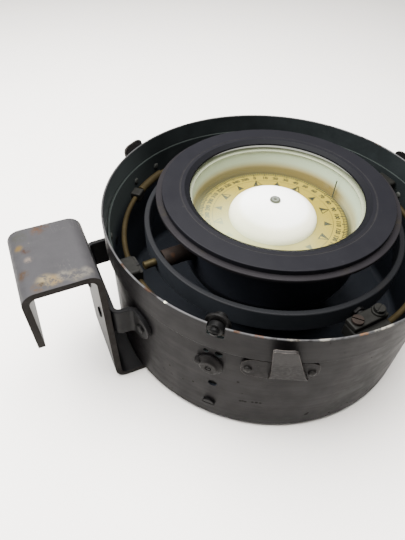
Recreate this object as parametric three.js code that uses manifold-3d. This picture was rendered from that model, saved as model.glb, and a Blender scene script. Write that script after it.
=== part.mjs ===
// Gimballed liquid ship compass in a steel pan that hooks over a board.
// Millimetres. +Z is up, +X is the lubber side, the origin is on the pan axis under the floor.
import * as THREE from 'three';
import { mergeVertices } from 'three/addons/utils/BufferGeometryUtils.js';
import Module from 'manifold-3d';

const wasm = await Module();
wasm.setup();

// ---- driving dimensions ----
const GAP = 0.3;

const RIM_R = 110;
const RIM_Z = 98;
const COAMING_INNER_R = 108.7;
const COAMING_LAP_R = 108.0;
const COAMING_BOTTOM_Z = 78;
const PAN_R = 107.6;
const PAN_WALL = 1.4;
const PAN_TOP_Z = 85.4;
const PAN_CORNER_R = 5;

// foot and tip: [width, sideways shift] of the tongue
const CATCHES = [
  { name: 'catch_fore', az: 0, foot: [19, 0], tip: [19, 0], corner: 4 },
  { name: 'catch_port', az: 120, foot: [19, 0], tip: [19, 0], corner: 4 },
  { name: 'catch_starboard', az: 239, foot: [18.6, 4.6], tip: [11.6, -2.4], corner: 1.5 },
];
const CATCH_PLATE_T = 1.5;
const CATCH_PLATE_Z = [61.5, 77];
const CATCH_HALF_ARC = 10.8;
const CATCH_RIVET_ARC = 8.8;
const CATCH_RIVET_Z = 68;
const TONGUE_TOP = [116.4, 98];
const TONGUE_BOTTOM = [111.2, 65.2];

const HOOK_AZ = 176.5;
const HOOK_T = 3.9;
const HOOK_WIDTH = 51.6;
const HOOK_TOP_Z = 101.3;
const HOOK_OUTER_X = 161.9;
const HOOK_LEG_X = 119.6;
const HOOK_TIP_Z = 58.4;
const HOOK_FOOT_X = 102;
const HOOK_BEND_R = 6.05;
const HOOK_RIVET_Y = 13;

const SADDLE_T = 3;
const SADDLE_Z = [47.5, 67.5];
const SADDLE_MID_Z = 57.5;
const SADDLE_NEAR = { end: 21.5, root: 13.4, rivet: 18.0 };
const SADDLE_FAR = { end: 28.4, root: 20.3, rivet: 24.9 };
const SADDLE_BEND_R = 4.5;

const STUD_AZ = -139.5;
const STUD_Z = 96;
const NOTCH_WIDTH = 9.4;

const BOSS_AZ = -140.5;
const BOSS_Z = 61;
const BOSS_R = 7.4;
const BOSS_STRETCH = 0.8;
const LOWER_SCREW_Z = 18.5;
const LOWER_SCREW_AZ = -140.1;
const OPEN_HOLES = [[-142.3, 71, 1.6], [-138.4, 71.4, 2.4], [-139.5, 40.5, 2.8]];

const HOOP_R = 98;
const HOOP_ROD_R = 2;
const HOOP_Z = 74;
const FERRULE_AZ = 133.5;
const JOINT_TUBE_AZ = [115, 130];

const AXIS_Z = 77.5;
const CLAMP_X = [95.2, 105.6];
const CLAMP_Z = [69, 82.5];
const CLAMP_WIDTH = 15;
const CLAMP_SCREW_Z = 79.6;

const BEARING_X = [88, 101.3];
const BEARING_BOTTOM_Z = 68.8;
const BEARING_HALF = 12;
const BEARING_CAP_TOP = 81.2;
const BEARING_CAP_X = 96.4;
const CAP_SCREW_X = 92.2;
const CAP_SCREW_Y = 7.5;
const PIVOT_R = 2.5;
const PIVOT_BORE_R = 2.58;

const RING_R = [80.9, 84.5];
const RING_Z = [70.5, 84.5];

const FLANGE_R = 76.2;
const FLANGE_Z = [100.4, 102.5];
const BOWL_R = 60;
const SEAT_R = 59.3;
const SEAT_Z = 98.2;
const WALL_TOP_R = 54.6;
const WALL_LOW_R = 52.2;
const BOWL_BOTTOM_Z = 42.5;
const BOWL_OPENING_R = 34;
const TRUNNION_R = 5.5;
const TRUNNION_END = 79.8;
const BEZEL_R = 72.3;
const BEZEL_INNER_TOP_R = 58.2;
const BEZEL_INNER_R = 54.8;
const BEZEL_Z = [102.8, 105.7];
const GLASS_Z = [99.5, 102.3];
const GLASS_R = 58.9;
const GASKET_Z = [98.5, 99.2];
const GASKET_R = [53.4, 58.8];

const CARD_R = [28, 49.6];
const CARD_Z = [82.3, 82.9];
const FLOAT_R = 29;
const FLOAT_BASE_Z = 83.2;
const FLOAT_HEIGHT = 12.4;
const FLOAT_WALL = 1.2;
const LUBBER_R = 51.2;
const POST_TIP_Z = 90.6;

// ---- materials ----
const paint = (name, color, metalness, roughness) =>
  Object.assign(new THREE.MeshStandardMaterial({ color, metalness, roughness }), { name });
const PAN_PAINT = paint('pan_paint', 0x55534f, 0.5, 0.5);
const HOOK_STEEL = paint('hook_steel', 0x7d7b78, 0.7, 0.45);
const RIVET_STEEL = paint('rivet_steel', 0x6a6865, 0.7, 0.4);
const BRASS = paint('brass', 0x8f7f4a, 0.9, 0.4);
const BLACK_PAINT = paint('black_paint', 0x2b2c31, 0.3, 0.45);
const RING_PAINT = paint('ring_paint', 0x3d4046, 0.4, 0.45);
const WHITE_ENAMEL = paint('white_enamel', 0xe6e6dc, 0.0, 0.35);
const CARD_FACE = paint('card_face', 0xc9bd78, 0.0, 0.6);
const CLEAR_GLASS = paint('clear_glass', 0xdde6e4, 0.0, 0.05);
const RUBBER = paint('rubber', 0xd8d8d0, 0.0, 0.7);
const LEAD = paint('lead', 0x5c5e63, 0.6, 0.6);

const group = new THREE.Group();
group.name = 'ship_compass';

// ---- solids ----
const signedVolume = (geometry) => {
  const p = geometry.getAttribute('position');
  const index = geometry.index.array;
  const a = new THREE.Vector3();
  const b = new THREE.Vector3();
  const c = new THREE.Vector3();
  let sum = 0;
  for (let i = 0; i < index.length; i += 3) {
    a.fromBufferAttribute(p, index[i]);
    b.fromBufferAttribute(p, index[i + 1]);
    c.fromBufferAttribute(p, index[i + 2]);
    sum += a.dot(b.cross(c));
  }
  return sum / 6;
};

const solid = (geometry) => {
  const bare = geometry.clone();
  bare.deleteAttribute('normal');
  bare.deleteAttribute('uv');
  const welded = mergeVertices(bare, 1e-4);
  const index = Array.from(welded.index.array);
  const kept = [];
  for (let i = 0; i < index.length; i += 3) {
    const [a, b, c] = [index[i], index[i + 1], index[i + 2]];
    if (a !== b && b !== c && c !== a) kept.push(a, b, c);
  }
  welded.setIndex(kept);
  if (signedVolume(welded) < 0) {
    for (let i = 0; i < kept.length; i += 3) [kept[i], kept[i + 1]] = [kept[i + 1], kept[i]];
    welded.setIndex(kept);
  }
  return welded;
};

const toManifold = (geometry) => {
  const g = solid(geometry);
  return new wasm.Manifold(new wasm.Mesh({
    numProp: 3,
    vertProperties: new Float32Array(g.getAttribute('position').array),
    triVerts: new Uint32Array(g.index.array),
  }));
};

const fromManifold = (body) => {
  const mesh = body.getMesh();
  const g = new THREE.BufferGeometry();
  const step = mesh.numProp;
  const count = mesh.vertProperties.length / step;
  const position = new Float32Array(count * 3);
  for (let i = 0; i < count; i++) {
    for (let k = 0; k < 3; k++) position[3 * i + k] = mesh.vertProperties[step * i + k];
  }
  g.setAttribute('position', new THREE.BufferAttribute(position, 3));
  g.setIndex(Array.from(mesh.triVerts));
  return g;
};

const cut = (base, ...tools) => {
  let body = toManifold(base);
  for (const tool of tools) body = body.subtract(toManifold(tool));
  return fromManifold(body);
};

const join = (base, ...others) => {
  let body = toManifold(base);
  for (const other of others) body = body.add(toManifold(other));
  return fromManifold(body);
};

const common = (a, b) => fromManifold(toManifold(a).intersect(toManifold(b)));

const add = (name, material, geometry) => {
  const g = solid(geometry).toNonIndexed();
  g.computeVertexNormals();
  const mesh = new THREE.Mesh(g, material);
  mesh.name = name;
  group.add(mesh);
};

// ---- shapes ----
const turned = (geometry, degrees) => geometry.clone().rotateZ(THREE.MathUtils.degToRad(degrees));

// Solid of revolution about +Z from [radius, height] pairs.
const lathe = (profile, segments = 48) => {
  const points = profile.map(([r, z]) => new THREE.Vector2(r, z));
  const first = profile[0];
  const last = profile[profile.length - 1];
  if (first[0] > 0 || last[0] > 0) points.push(new THREE.Vector2(first[0], first[1]));
  return new THREE.LatheGeometry(points, segments).rotateX(Math.PI / 2);
};

// Solid of revolution about +X from [radius, x] pairs, moved to y, z.
const spindle = (profile, y = 0, z = 0, segments = 14) =>
  lathe(profile, segments).rotateY(Math.PI / 2).translate(0, y, z);

const rod = (radius, x0, x1, y, z, segments = 12) =>
  spindle([[0, x0], [radius, x0], [radius, x1], [0, x1]], y, z, segments);

const pillar = (radius, z0, z1, x, y, segments = 12) =>
  lathe([[0, z0], [radius, z0], [radius, z1], [0, z1]], segments).translate(x, y, 0);

const box = (x0, x1, y0, y1, z0, z1) =>
  new THREE.BoxGeometry(x1 - x0, y1 - y0, z1 - z0)
    .translate((x0 + x1) / 2, (y0 + y1) / 2, (z0 + z1) / 2);

const polygon = (points) => new THREE.Shape(points.map(([x, y]) => new THREE.Vector2(x, y)));

const prism = (shape, depth) =>
  new THREE.ExtrudeGeometry(shape, { depth, bevelEnabled: false, curveSegments: 6 });

// Outline of a bent strip of constant thickness along a polyline, with round bends.
const stripOutline = (path, thickness, bendRadius, steps = 4) => {
  const centre = [];
  const at = (i) => new THREE.Vector2(...path[i]);
  centre.push({ p: at(0), d: at(1).sub(at(0)).normalize() });
  for (let i = 1; i < path.length - 1; i++) {
    const inward = at(i).sub(at(i - 1)).normalize();
    const onward = at(i + 1).sub(at(i)).normalize();
    const turn = Math.atan2(inward.cross(onward), inward.dot(onward));
    const setback = bendRadius * Math.tan(Math.abs(turn) / 2);
    const start = at(i).addScaledVector(inward, -setback);
    const side = Math.sign(turn);
    const across = new THREE.Vector2(-inward.y, inward.x);
    const hub = start.clone().addScaledVector(across, side * bendRadius);
    for (let k = 0; k <= steps; k++) {
      const angle = turn * k / steps;
      const p = start.clone().rotateAround(hub, angle);
      const d = inward.clone().rotateAround(new THREE.Vector2(), angle);
      centre.push({ p, d });
    }
  }
  const n = path.length;
  centre.push({ p: at(n - 1), d: at(n - 1).sub(at(n - 2)).normalize() });
  const offset = (side) => centre.map(({ p, d }) =>
    new THREE.Vector2(p.x - d.y * side * thickness / 2, p.y + d.x * side * thickness / 2));
  return new THREE.Shape([...offset(1), ...offset(-1).reverse()]);
};

// Sector of a cylindrical sheet, centred on +X.
const sheetSector = (inner, outer, halfArc, z0, z1, steps = 4) => {
  const points = [];
  for (let k = 0; k <= steps; k++) {
    const a = THREE.MathUtils.degToRad(-halfArc + 2 * halfArc * k / steps);
    points.push([outer * Math.cos(a), outer * Math.sin(a)]);
  }
  for (let k = steps; k >= 0; k--) {
    const a = THREE.MathUtils.degToRad(-halfArc + 2 * halfArc * k / steps);
    points.push([inner * Math.cos(a), inner * Math.sin(a)]);
  }
  return prism(polygon(points), z1 - z0).translate(0, 0, z0);
};

const torusCut = (radius, tube) =>
  new THREE.TorusGeometry(radius, tube, 6, 60).translate(0, 0, HOOP_Z);

const slot = (width, depth, length, x1, y, z) =>
  box(x1 - depth, x1 + 1, y - length, y + length, z - width / 2, z + width / 2);

const wallHole = (az, z, r) => turned(rod(r, 100, 116, 0, z, 10), az);

// Screw along X: shank from tipX to faceX, head outside faceX.
const slottedScrew = (faceX, tipX, shankR, headR, headT, y, z) => cut(spindle([
  [0, tipX], [shankR, tipX], [shankR, faceX], [headR, faceX], [headR, faceX + headT - 0.4],
  [headR - 0.5, faceX + headT], [0, faceX + headT],
], y, z, 12), slot(0.9, 0.8, headR + 1, faceX + headT, y, z));

// ---- pan ----
const panHoles = () => {
  const holes = OPEN_HOLES.map(([az, z, r]) => wallHole(az, z, r));
  for (const { az } of CATCHES) {
    holes.push(wallHole(az - CATCH_RIVET_ARC, CATCH_RIVET_Z, 1.8));
    holes.push(wallHole(az + CATCH_RIVET_ARC, CATCH_RIVET_Z, 1.8));
  }
  holes.push(wallHole(HOOK_AZ - SADDLE_FAR.rivet, SADDLE_MID_Z, 2.3));
  holes.push(wallHole(HOOK_AZ + SADDLE_NEAR.rivet, SADDLE_MID_Z, 2.3));
  for (const az of [0, 180]) holes.push(wallHole(az, CLAMP_SCREW_Z, 2.0));
  holes.push(wallHole(BOSS_AZ, BOSS_Z, 1.9));
  holes.push(wallHole(LOWER_SCREW_AZ, LOWER_SCREW_Z, 2.3));
  return holes;
};

const panBody = () => {
  const inner = PAN_R - PAN_WALL;
  const corner = [];
  for (let k = 0; k <= 2; k++) {
    const a = Math.PI / 2 * k / 2;
    corner.push([PAN_R - PAN_CORNER_R * (1 - Math.sin(a)), PAN_CORNER_R * (1 - Math.cos(a))]);
  }
  return cut(lathe([
    [0, 0], ...corner, [PAN_R, PAN_TOP_Z], [inner, PAN_TOP_Z], [inner, PAN_CORNER_R],
    [inner - 1.2, 2.6], [inner - 4, PAN_WALL], [0, PAN_WALL],
  ], 48), ...panHoles());
};

const coaming = () => {
  const band = lathe([
    [COAMING_LAP_R, COAMING_BOTTOM_Z], [RIM_R - 0.8, COAMING_BOTTOM_Z], [RIM_R, COAMING_BOTTOM_Z + 1.2],
    [RIM_R, RIM_Z], [COAMING_INNER_R, RIM_Z],
    [COAMING_INNER_R, PAN_TOP_Z + 1.2], [COAMING_LAP_R, PAN_TOP_Z + 0.6],
  ], 48);
  const notch = box(100, 115, -NOTCH_WIDTH / 2, NOTCH_WIDTH / 2, STUD_Z - 6.5, RIM_Z + 5);
  const holes = [0, 180].map((az) => wallHole(az, CLAMP_SCREW_Z, 2.0));
  return cut(band, turned(notch, STUD_AZ), ...holes);
};

const tongue = ([wide, footY], [narrow, tipY], corner) => {
  const [x0, z0] = TONGUE_BOTTOM;
  const [x1, z1] = TONGUE_TOP;
  const length = Math.hypot(x1 - x0, z1 - z0);
  const face = polygon([
    [footY - wide / 2, 0], [footY + wide / 2, 0],
    [tipY + narrow / 2, length - corner], [tipY + narrow / 2 - corner, length],
    [tipY - narrow / 2 + corner, length], [tipY - narrow / 2, length - corner],
  ]);
  return prism(face, CATCH_PLATE_T)
    .rotateX(Math.PI / 2)
    .rotateZ(Math.PI / 2)
    .translate(-CATCH_PLATE_T / 2, 0, 0)
    .rotateY(Math.atan2(x1 - x0, z1 - z0))
    .translate(x0, 0, z0);
};

const catchBody = ({ foot, tip, corner }) => {
  const inner = PAN_R + GAP;
  const outer = inner + CATCH_PLATE_T;
  const [z0, z1] = CATCH_PLATE_Z;
  const plate = join(
    sheetSector(inner, outer, CATCH_HALF_ARC, z0 + 2.5, z1 - 2.5),
    sheetSector(inner, outer, CATCH_HALF_ARC - 1.4, z0, z1),
  );
  const [width, shift] = foot;
  const [footX, footZ] = TONGUE_BOTTOM;
  const fold = box(outer - 0.9, footX + 0.7, shift - width / 2, shift + width / 2, footZ - 0.7, footZ + 1.9);
  const holes = [-1, 1].map((side) => wallHole(side * CATCH_RIVET_ARC, CATCH_RIVET_Z, 1.8));
  return cut(join(plate, fold, tongue(foot, tip, corner)), ...holes);
};

const rivet = (outerFace, innerFace, shankR, headR) => spindle([
  [0, innerFace - 1.5], [headR * 0.7, innerFace - 1.2], [headR, innerFace], [shankR, innerFace],
  [shankR, outerFace], [headR * 1.1, outerFace], [headR * 0.8, outerFace + 1.3], [0, outerFace + 1.8],
], 0, 0, 8);

const addCatches = () => {
  for (const design of CATCHES) {
    add(design.name, RIVET_STEEL, turned(catchBody(design), design.az));
    for (const [side, tag] of [[-1, 'a'], [1, 'b']]) {
      const head = rivet(PAN_R + CATCH_PLATE_T + 2 * GAP, PAN_R - PAN_WALL - GAP, 1.4, 2.6);
      add(`${design.name}_rivet_${tag}`, RIVET_STEEL,
        turned(head.translate(0, 0, CATCH_RIVET_Z), design.az + side * CATCH_RIVET_ARC));
    }
  }
};

// ---- hook and saddle ----
const hookBracket = () => {
  const outerX = HOOK_OUTER_X - HOOK_T / 2;
  const innerX = HOOK_LEG_X + HOOK_T / 2;
  const topZ = HOOK_TOP_Z - HOOK_T / 2;
  const footZ = HOOK_T / 2;
  const outline = stripOutline([
    [outerX, HOOK_TIP_Z], [outerX, topZ], [innerX, topZ], [innerX, footZ], [HOOK_FOOT_X, footZ],
  ], HOOK_T, HOOK_BEND_R);
  const plate = prism(outline, HOOK_WIDTH).rotateX(Math.PI / 2).translate(0, HOOK_WIDTH / 2, 0);
  const legX = [HOOK_LEG_X - 4, HOOK_LEG_X + 8];
  const holes = [-1, 1].map((side) => rod(2.3, ...legX, side * HOOK_RIVET_Y, SADDLE_MID_Z, 10));
  const wall = lathe([[0, -1], [PAN_R + GAP, -1], [PAN_R + GAP, 10], [0, 10]], 96);
  return cut(plate, wall, ...holes);
};

// Half of the strap in plan, from its end on the wall to the corner beside the leg.
const saddleHalf = ({ end, root }) => {
  const wingR = PAN_R + GAP + SADDLE_T / 2;
  const wing = [0, 1, 2, 3].map((k) => {
    const angle = THREE.MathUtils.degToRad(end + (root - end) * k / 3);
    return [wingR * Math.cos(angle), wingR * Math.sin(angle)];
  });
  return [...wing, [HOOK_LEG_X - GAP - SADDLE_T / 2, wing[3][1] - 0.6]];
};

const saddle = () => {
  const near = saddleHalf(SADDLE_NEAR);
  const far = saddleHalf(SADDLE_FAR).map(([x, y]) => [x, -y]);
  const [z0, z1] = SADDLE_Z;
  const outline = stripOutline([...near, ...far.slice().reverse()], SADDLE_T, SADDLE_BEND_R, 3);
  const strip = prism(outline, z1 - z0).translate(0, 0, z0);
  const profile = new THREE.Shape();
  const r = (z1 - z0) / 2;
  const nearY = near[0][1] - r;
  const farY = far[0][1] + r;
  profile.moveTo(farY, z0);
  profile.lineTo(nearY, z0);
  profile.absarc(nearY, z0 + r, r, -Math.PI / 2, Math.PI / 2, false);
  profile.lineTo(farY, z1);
  profile.absarc(farY, z0 + r, r, Math.PI / 2, 1.5 * Math.PI, false);
  const envelope = prism(profile, 40).rotateX(Math.PI / 2).rotateZ(Math.PI / 2).translate(90, 0, 0);
  const wallHoles = [SADDLE_NEAR.rivet, -SADDLE_FAR.rivet].map((az) => wallHole(az, SADDLE_MID_Z, 2.3));
  const legX = [HOOK_LEG_X - 8, HOOK_LEG_X + 4];
  const legHoles = [-1, 1].map((side) => rod(2.3, ...legX, side * HOOK_RIVET_Y, SADDLE_MID_Z, 10));
  return cut(common(strip, envelope), ...wallHoles, ...legHoles);
};

const addHook = () => {
  add('hook_bracket', HOOK_STEEL, turned(hookBracket(), HOOK_AZ));
  add('hook_saddle', PAN_PAINT, turned(saddle(), HOOK_AZ));
  const legRivet = rivet(HOOK_LEG_X + HOOK_T + GAP, HOOK_LEG_X - SADDLE_T - 2 * GAP, 1.9, 3.4);
  const wallRivet = rivet(PAN_R + SADDLE_T + 2 * GAP, PAN_R - PAN_WALL - GAP, 1.9, 3.2);
  for (const [side, tag, arc] of [[-1, 'a', SADDLE_FAR.rivet], [1, 'b', SADDLE_NEAR.rivet]]) {
    const onLeg = legRivet.clone().translate(0, side * HOOK_RIVET_Y, SADDLE_MID_Z);
    add(`hook_rivet_${tag}`, RIVET_STEEL, turned(onLeg, HOOK_AZ));
    const onWall = wallRivet.clone().translate(0, 0, SADDLE_MID_Z);
    add(`saddle_rivet_${tag}`, RIVET_STEEL, turned(onWall, HOOK_AZ + side * arc));
  }
};

// ---- fittings on the pan wall ----
const addWallFittings = () => {
  const studBody = cut(spindle([
    [0, 101.4], [5.2, 101.4], [5.2, 105.2], [2.6, 105.2], [2.6, 107.6], [4.1, 107.6], [4.1, 111.2],
    [2.6, 111.2], [2.6, 112.6], [2.0, 113.6], [0, 113.6],
  ], 0, STUD_Z), slot(1, 1, 4, 113.6, 0, STUD_Z));
  add('rim_stud', RIVET_STEEL, turned(studBody, STUD_AZ));
  const washer = spindle([[2.9, 105.5], [6.8, 105.5], [6.8, 107.2], [2.9, 107.2]], 0, STUD_Z, 18);
  add('stud_washer', RIVET_STEEL, turned(washer, STUD_AZ));
  const oval = new THREE.Shape();
  oval.absarc(0, BOSS_STRETCH, BOSS_R, 0, Math.PI, false);
  oval.absarc(0, -BOSS_STRETCH, BOSS_R, Math.PI, 2 * Math.PI, false);
  const plate = prism(oval, 2.2).rotateX(Math.PI / 2).rotateZ(Math.PI / 2).translate(108.1, 0, BOSS_Z);
  const crown = rod(5.2, 109, 111.6, 0, BOSS_Z, 16);
  const boss = cut(join(plate, crown), rod(1.9, 100, 116, 0, BOSS_Z, 10));
  add('fitting_boss', PAN_PAINT, turned(boss, BOSS_AZ));
  const bossScrew = slottedScrew(111.9, 104, 1.5, 3, 1.4, 0, BOSS_Z);
  add('fitting_screw', RIVET_STEEL, turned(bossScrew, BOSS_AZ));
  const lowerScrew = slottedScrew(108.0, 103.5, 1.9, 4, 1.4, 0, LOWER_SCREW_Z);
  add('lower_screw', RIVET_STEEL, turned(lowerScrew, LOWER_SCREW_AZ));
};

// ---- spring hoop ----
const wallClamp = () => cut(
  box(CLAMP_X[0], CLAMP_X[1], -CLAMP_WIDTH / 2, CLAMP_WIDTH / 2, CLAMP_Z[0], CLAMP_Z[1]),
  torusCut(HOOP_R, HOOP_ROD_R + 0.4),
  rod(2.0, 90, 110, 0, CLAMP_SCREW_Z, 12),
);

const jointTube = () => {
  const [a0, a1] = JOINT_TUBE_AZ;
  const radial = (r) => new THREE.Shape().absarc(0, 0, r, 0, 2 * Math.PI, false);
  const annulus = radial(3.3);
  annulus.holes.push(new THREE.Path().absarc(0, 0, 2.5, 0, 2 * Math.PI, true));
  const points = [];
  for (let k = 0; k <= 6; k++) {
    const a = THREE.MathUtils.degToRad(a0 + (a1 - a0) * k / 6);
    points.push(new THREE.Vector3(HOOP_R * Math.cos(a), HOOP_R * Math.sin(a), HOOP_Z));
  }
  const path = new THREE.CatmullRomCurve3(points);
  const sweep = { steps: 4, extrudePath: path, bevelEnabled: false, curveSegments: 4 };
  return new THREE.ExtrudeGeometry(annulus, sweep);
};

const addHoop = () => {
  for (const [az, tag] of [[0, 'fore'], [180, 'aft']]) {
    add(`wall_clamp_${tag}`, PAN_PAINT, turned(wallClamp(), az));
    const screw = rod(1.7, CLAMP_X[0], PAN_R, 0, CLAMP_SCREW_Z, 12);
    add(`wall_clamp_screw_${tag}`, RIVET_STEEL, turned(screw, az));
  }
  add('spring_hoop', BRASS, new THREE.TorusGeometry(HOOP_R, HOOP_ROD_R, 6, 60).translate(0, 0, HOOP_Z));
  const ferrule = cut(box(HOOP_R - 3.7, HOOP_R + 3.7, -4, 4, HOOP_Z - 3.7, HOOP_Z + 3.7),
    turned(torusCut(HOOP_R, HOOP_ROD_R + 0.4), -FERRULE_AZ));
  add('hoop_ferrule', RIVET_STEEL, turned(ferrule, FERRULE_AZ));
  add('hoop_joint_tube', BRASS, jointTube());
};

// ---- split bearings that ride on the hoop ----
const bearingBlock = () => cut(
  box(BEARING_X[0], BEARING_X[1], -BEARING_HALF, BEARING_HALF, BEARING_BOTTOM_Z, AXIS_Z - GAP / 2),
  torusCut(HOOP_R, HOOP_ROD_R + 0.4),
  rod(PIVOT_BORE_R, BEARING_X[0] - 1, 95.2, 0, AXIS_Z, 12),
  pillar(1.8, 71, AXIS_Z + 1, CAP_SCREW_X, -CAP_SCREW_Y, 12),
  pillar(1.8, 71, AXIS_Z + 1, CAP_SCREW_X, CAP_SCREW_Y, 12),
);

const bearingCap = () => cut(
  join(
    box(BEARING_X[0], BEARING_CAP_X, -BEARING_HALF, BEARING_HALF, AXIS_Z + GAP / 2, BEARING_CAP_TOP),
    pillar(4, BEARING_CAP_TOP - 1, BEARING_CAP_TOP + 1.4, CAP_SCREW_X, CAP_SCREW_Y, 14),
  ),
  rod(PIVOT_BORE_R, BEARING_X[0] - 1, 95.2, 0, AXIS_Z, 12),
  pillar(1.8, 75, 90, CAP_SCREW_X, -CAP_SCREW_Y, 12),
  pillar(1.8, 75, 90, CAP_SCREW_X, CAP_SCREW_Y, 12),
);

const capScrew = (faceZ, headR, headT, y) => cut(
  lathe([
    [0, 71.5], [1.5, 71.5], [1.5, faceZ], [headR, faceZ], [headR, faceZ + headT - 0.4],
    [headR - 0.5, faceZ + headT], [0, faceZ + headT],
  ], 10).translate(CAP_SCREW_X, y, 0),
  box(CAP_SCREW_X - 5, CAP_SCREW_X + 5, y - 0.45, y + 0.45, faceZ + headT - 0.9, faceZ + headT + 1),
);

const addBearings = () => {
  for (const [az, tag] of [[90, 'port'], [-90, 'starboard']]) {
    add(`bearing_block_${tag}`, PAN_PAINT, turned(bearingBlock(), az));
    add(`bearing_cap_${tag}`, PAN_PAINT, turned(bearingCap(), az));
    const boss = capScrew(BEARING_CAP_TOP + 1.4 + GAP, 3.2, 1.9, CAP_SCREW_Y);
    const flat = capScrew(BEARING_CAP_TOP + GAP, 3.4, 1.6, -CAP_SCREW_Y);
    add(`cap_screw_${tag}_a`, RIVET_STEEL, turned(boss, az));
    add(`cap_screw_${tag}_b`, RIVET_STEEL, turned(flat, az));
  }
};

// ---- gimbal ring ----
const gimbalRing = () => {
  const [r0, r1] = RING_R;
  const [z0, z1] = RING_Z;
  const band = lathe([[r0, z0], [r1, z0], [r1, z1 - 0.5], [r1 - 0.5, z1], [r0 + 0.5, z1], [r0, z1 - 0.5]]);
  const holes = [0, 90, 180, 270].map((az) => turned(rod(PIVOT_R + GAP, 78, 88, 0, AXIS_Z, 12), az));
  return cut(band, ...holes);
};

const ringPin = () => spindle([
  [0, 81.1], [PIVOT_R, 81.1], [PIVOT_R, 84.8], [4, 84.8], [4, 86.6], [PIVOT_R, 86.6],
  [PIVOT_R, 94.2], [PIVOT_R - 0.6, 94.8], [0, 94.8],
], 0, AXIS_Z, 12);

const bowlScrew = () => cut(spindle([
  [0, 72.9], [PIVOT_R - 0.6, 72.9], [PIVOT_R, 73.6], [PIVOT_R, 91.8], [PIVOT_R - 0.5, 92.4], [0, 92.4],
], 0, AXIS_Z, 12), slot(1.0, 1.4, 4, 92.4, 0, AXIS_Z));

const addRing = () => {
  add('gimbal_ring', RING_PAINT, gimbalRing());
  for (const [az, tag] of [[90, 'port'], [-90, 'starboard']]) {
    add(`ring_pin_${tag}`, RIVET_STEEL, turned(ringPin(), az));
  }
  for (const [az, tag] of [[0, 'fore'], [180, 'aft']]) {
    add(`bowl_screw_${tag}`, BRASS, turned(bowlScrew(), az));
  }
};

// ---- bowl ----
const bowlBody = () => {
  const shell = lathe([
    [BOWL_OPENING_R, BOWL_BOTTOM_Z], [47, BOWL_BOTTOM_Z], [56.5, 50], [BOWL_R, 60], [BOWL_R, SEAT_Z],
    [WALL_TOP_R, SEAT_Z], [WALL_LOW_R + 0.2, 82], [WALL_LOW_R, 60], [44, 46.5], [BOWL_OPENING_R, 46.5],
  ], 40);
  const bosses = [0, 180].map((az) => turned(rod(TRUNNION_R, 56, TRUNNION_END, 0, AXIS_Z, 12), az));
  const bores = [0, 180].map((az) => turned(rod(PIVOT_BORE_R, 72.2, 82, 0, AXIS_Z, 12), az));
  return cut(join(shell, ...bosses), ...bores, turned(rod(2.8, 48, 66, 0, 88, 12), 45));
};

const bowlFlange = () => lathe([
  [BOWL_R + GAP, 92], [66, 98.4], [FLANGE_R, FLANGE_Z[0]], [FLANGE_R, FLANGE_Z[1]], [SEAT_R, FLANGE_Z[1]],
  [SEAT_R, SEAT_Z + GAP], [BOWL_R + GAP, SEAT_Z + GAP],
], 40);

const bezel = () => lathe([
  [BEZEL_INNER_R, BEZEL_Z[0]], [BEZEL_R, BEZEL_Z[0]], [BEZEL_R, BEZEL_Z[1] - 0.5],
  [BEZEL_R - 0.5, BEZEL_Z[1]], [BEZEL_INNER_TOP_R, BEZEL_Z[1]], [BEZEL_INNER_R, BEZEL_Z[0] + 0.7],
], 40);

const disc = (radius, z0, z1) => lathe([[0, z0], [radius, z0], [radius, z1], [0, z1]], 40);

const ringBand = (r0, r1, z0, z1) => lathe([[r0, z0], [r1, z0], [r1, z1], [r0, z1]], 40);

const diaphragm = () => lathe([
  [0, 40.6], [16, 40.6], [20, 39.9], [24, 40.6], [28, 39.9], [33, 41.2], [46, 41.2],
  [46, 42.2], [32.6, 42.2], [28, 40.9], [24, 41.6], [20, 40.9], [16, 41.6], [0, 41.6],
], 24);

const bottomCover = () => lathe([
  [0, 27.5], [29, 27.5], [34.5, 31], [35.5, 38.6], [46, 38.6], [46, 40.9], [34, 40.9], [33.4, 38.8],
  [32.2, 32.4], [28, 29.4], [0, 29.4],
], 24);

const fillerPlug = () =>
  spindle([[0, 54], [2.4, 54], [2.4, 60.5], [4.4, 60.5], [4.4, 64], [0, 64]], 0, 88, 12);

const addBowl = () => {
  add('bowl', BLACK_PAINT, bowlBody());
  add('bowl_flange', BLACK_PAINT, bowlFlange());
  add('bezel', BLACK_PAINT, bezel());
  add('glass', CLEAR_GLASS, disc(GLASS_R, GLASS_Z[0], GLASS_Z[1]));
  add('gasket', RUBBER, ringBand(...GASKET_R, ...GASKET_Z));
  add('lubber_wire', RIVET_STEEL, pillar(0.45, 79, 95, LUBBER_R, 0, 8));
  add('pivot_bridge', BRASS, cut(box(-42, 42, -6, 6, 46.8, 49.8), pillar(2.8, 40, 55, 0, 0, 12)));
  add('pivot_post', RIVET_STEEL, lathe([
    [0, 45.5], [2.5, 45.5], [2.5, 50.1], [5, 50.1], [5, 52], [2, 53], [2, 84], [1.2, 87.4],
    [0.25, POST_TIP_Z], [0, POST_TIP_Z],
  ], 12));
  add('diaphragm', BRASS, diaphragm());
  add('bottom_cover', BLACK_PAINT, bottomCover());
  add('ballast', LEAD, lathe([[10, 29.7], [27, 29.7], [28, 31], [28, 36], [10, 36]], 24));
  add('filler_plug', BRASS, turned(fillerPlug(), 45));
};

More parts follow.
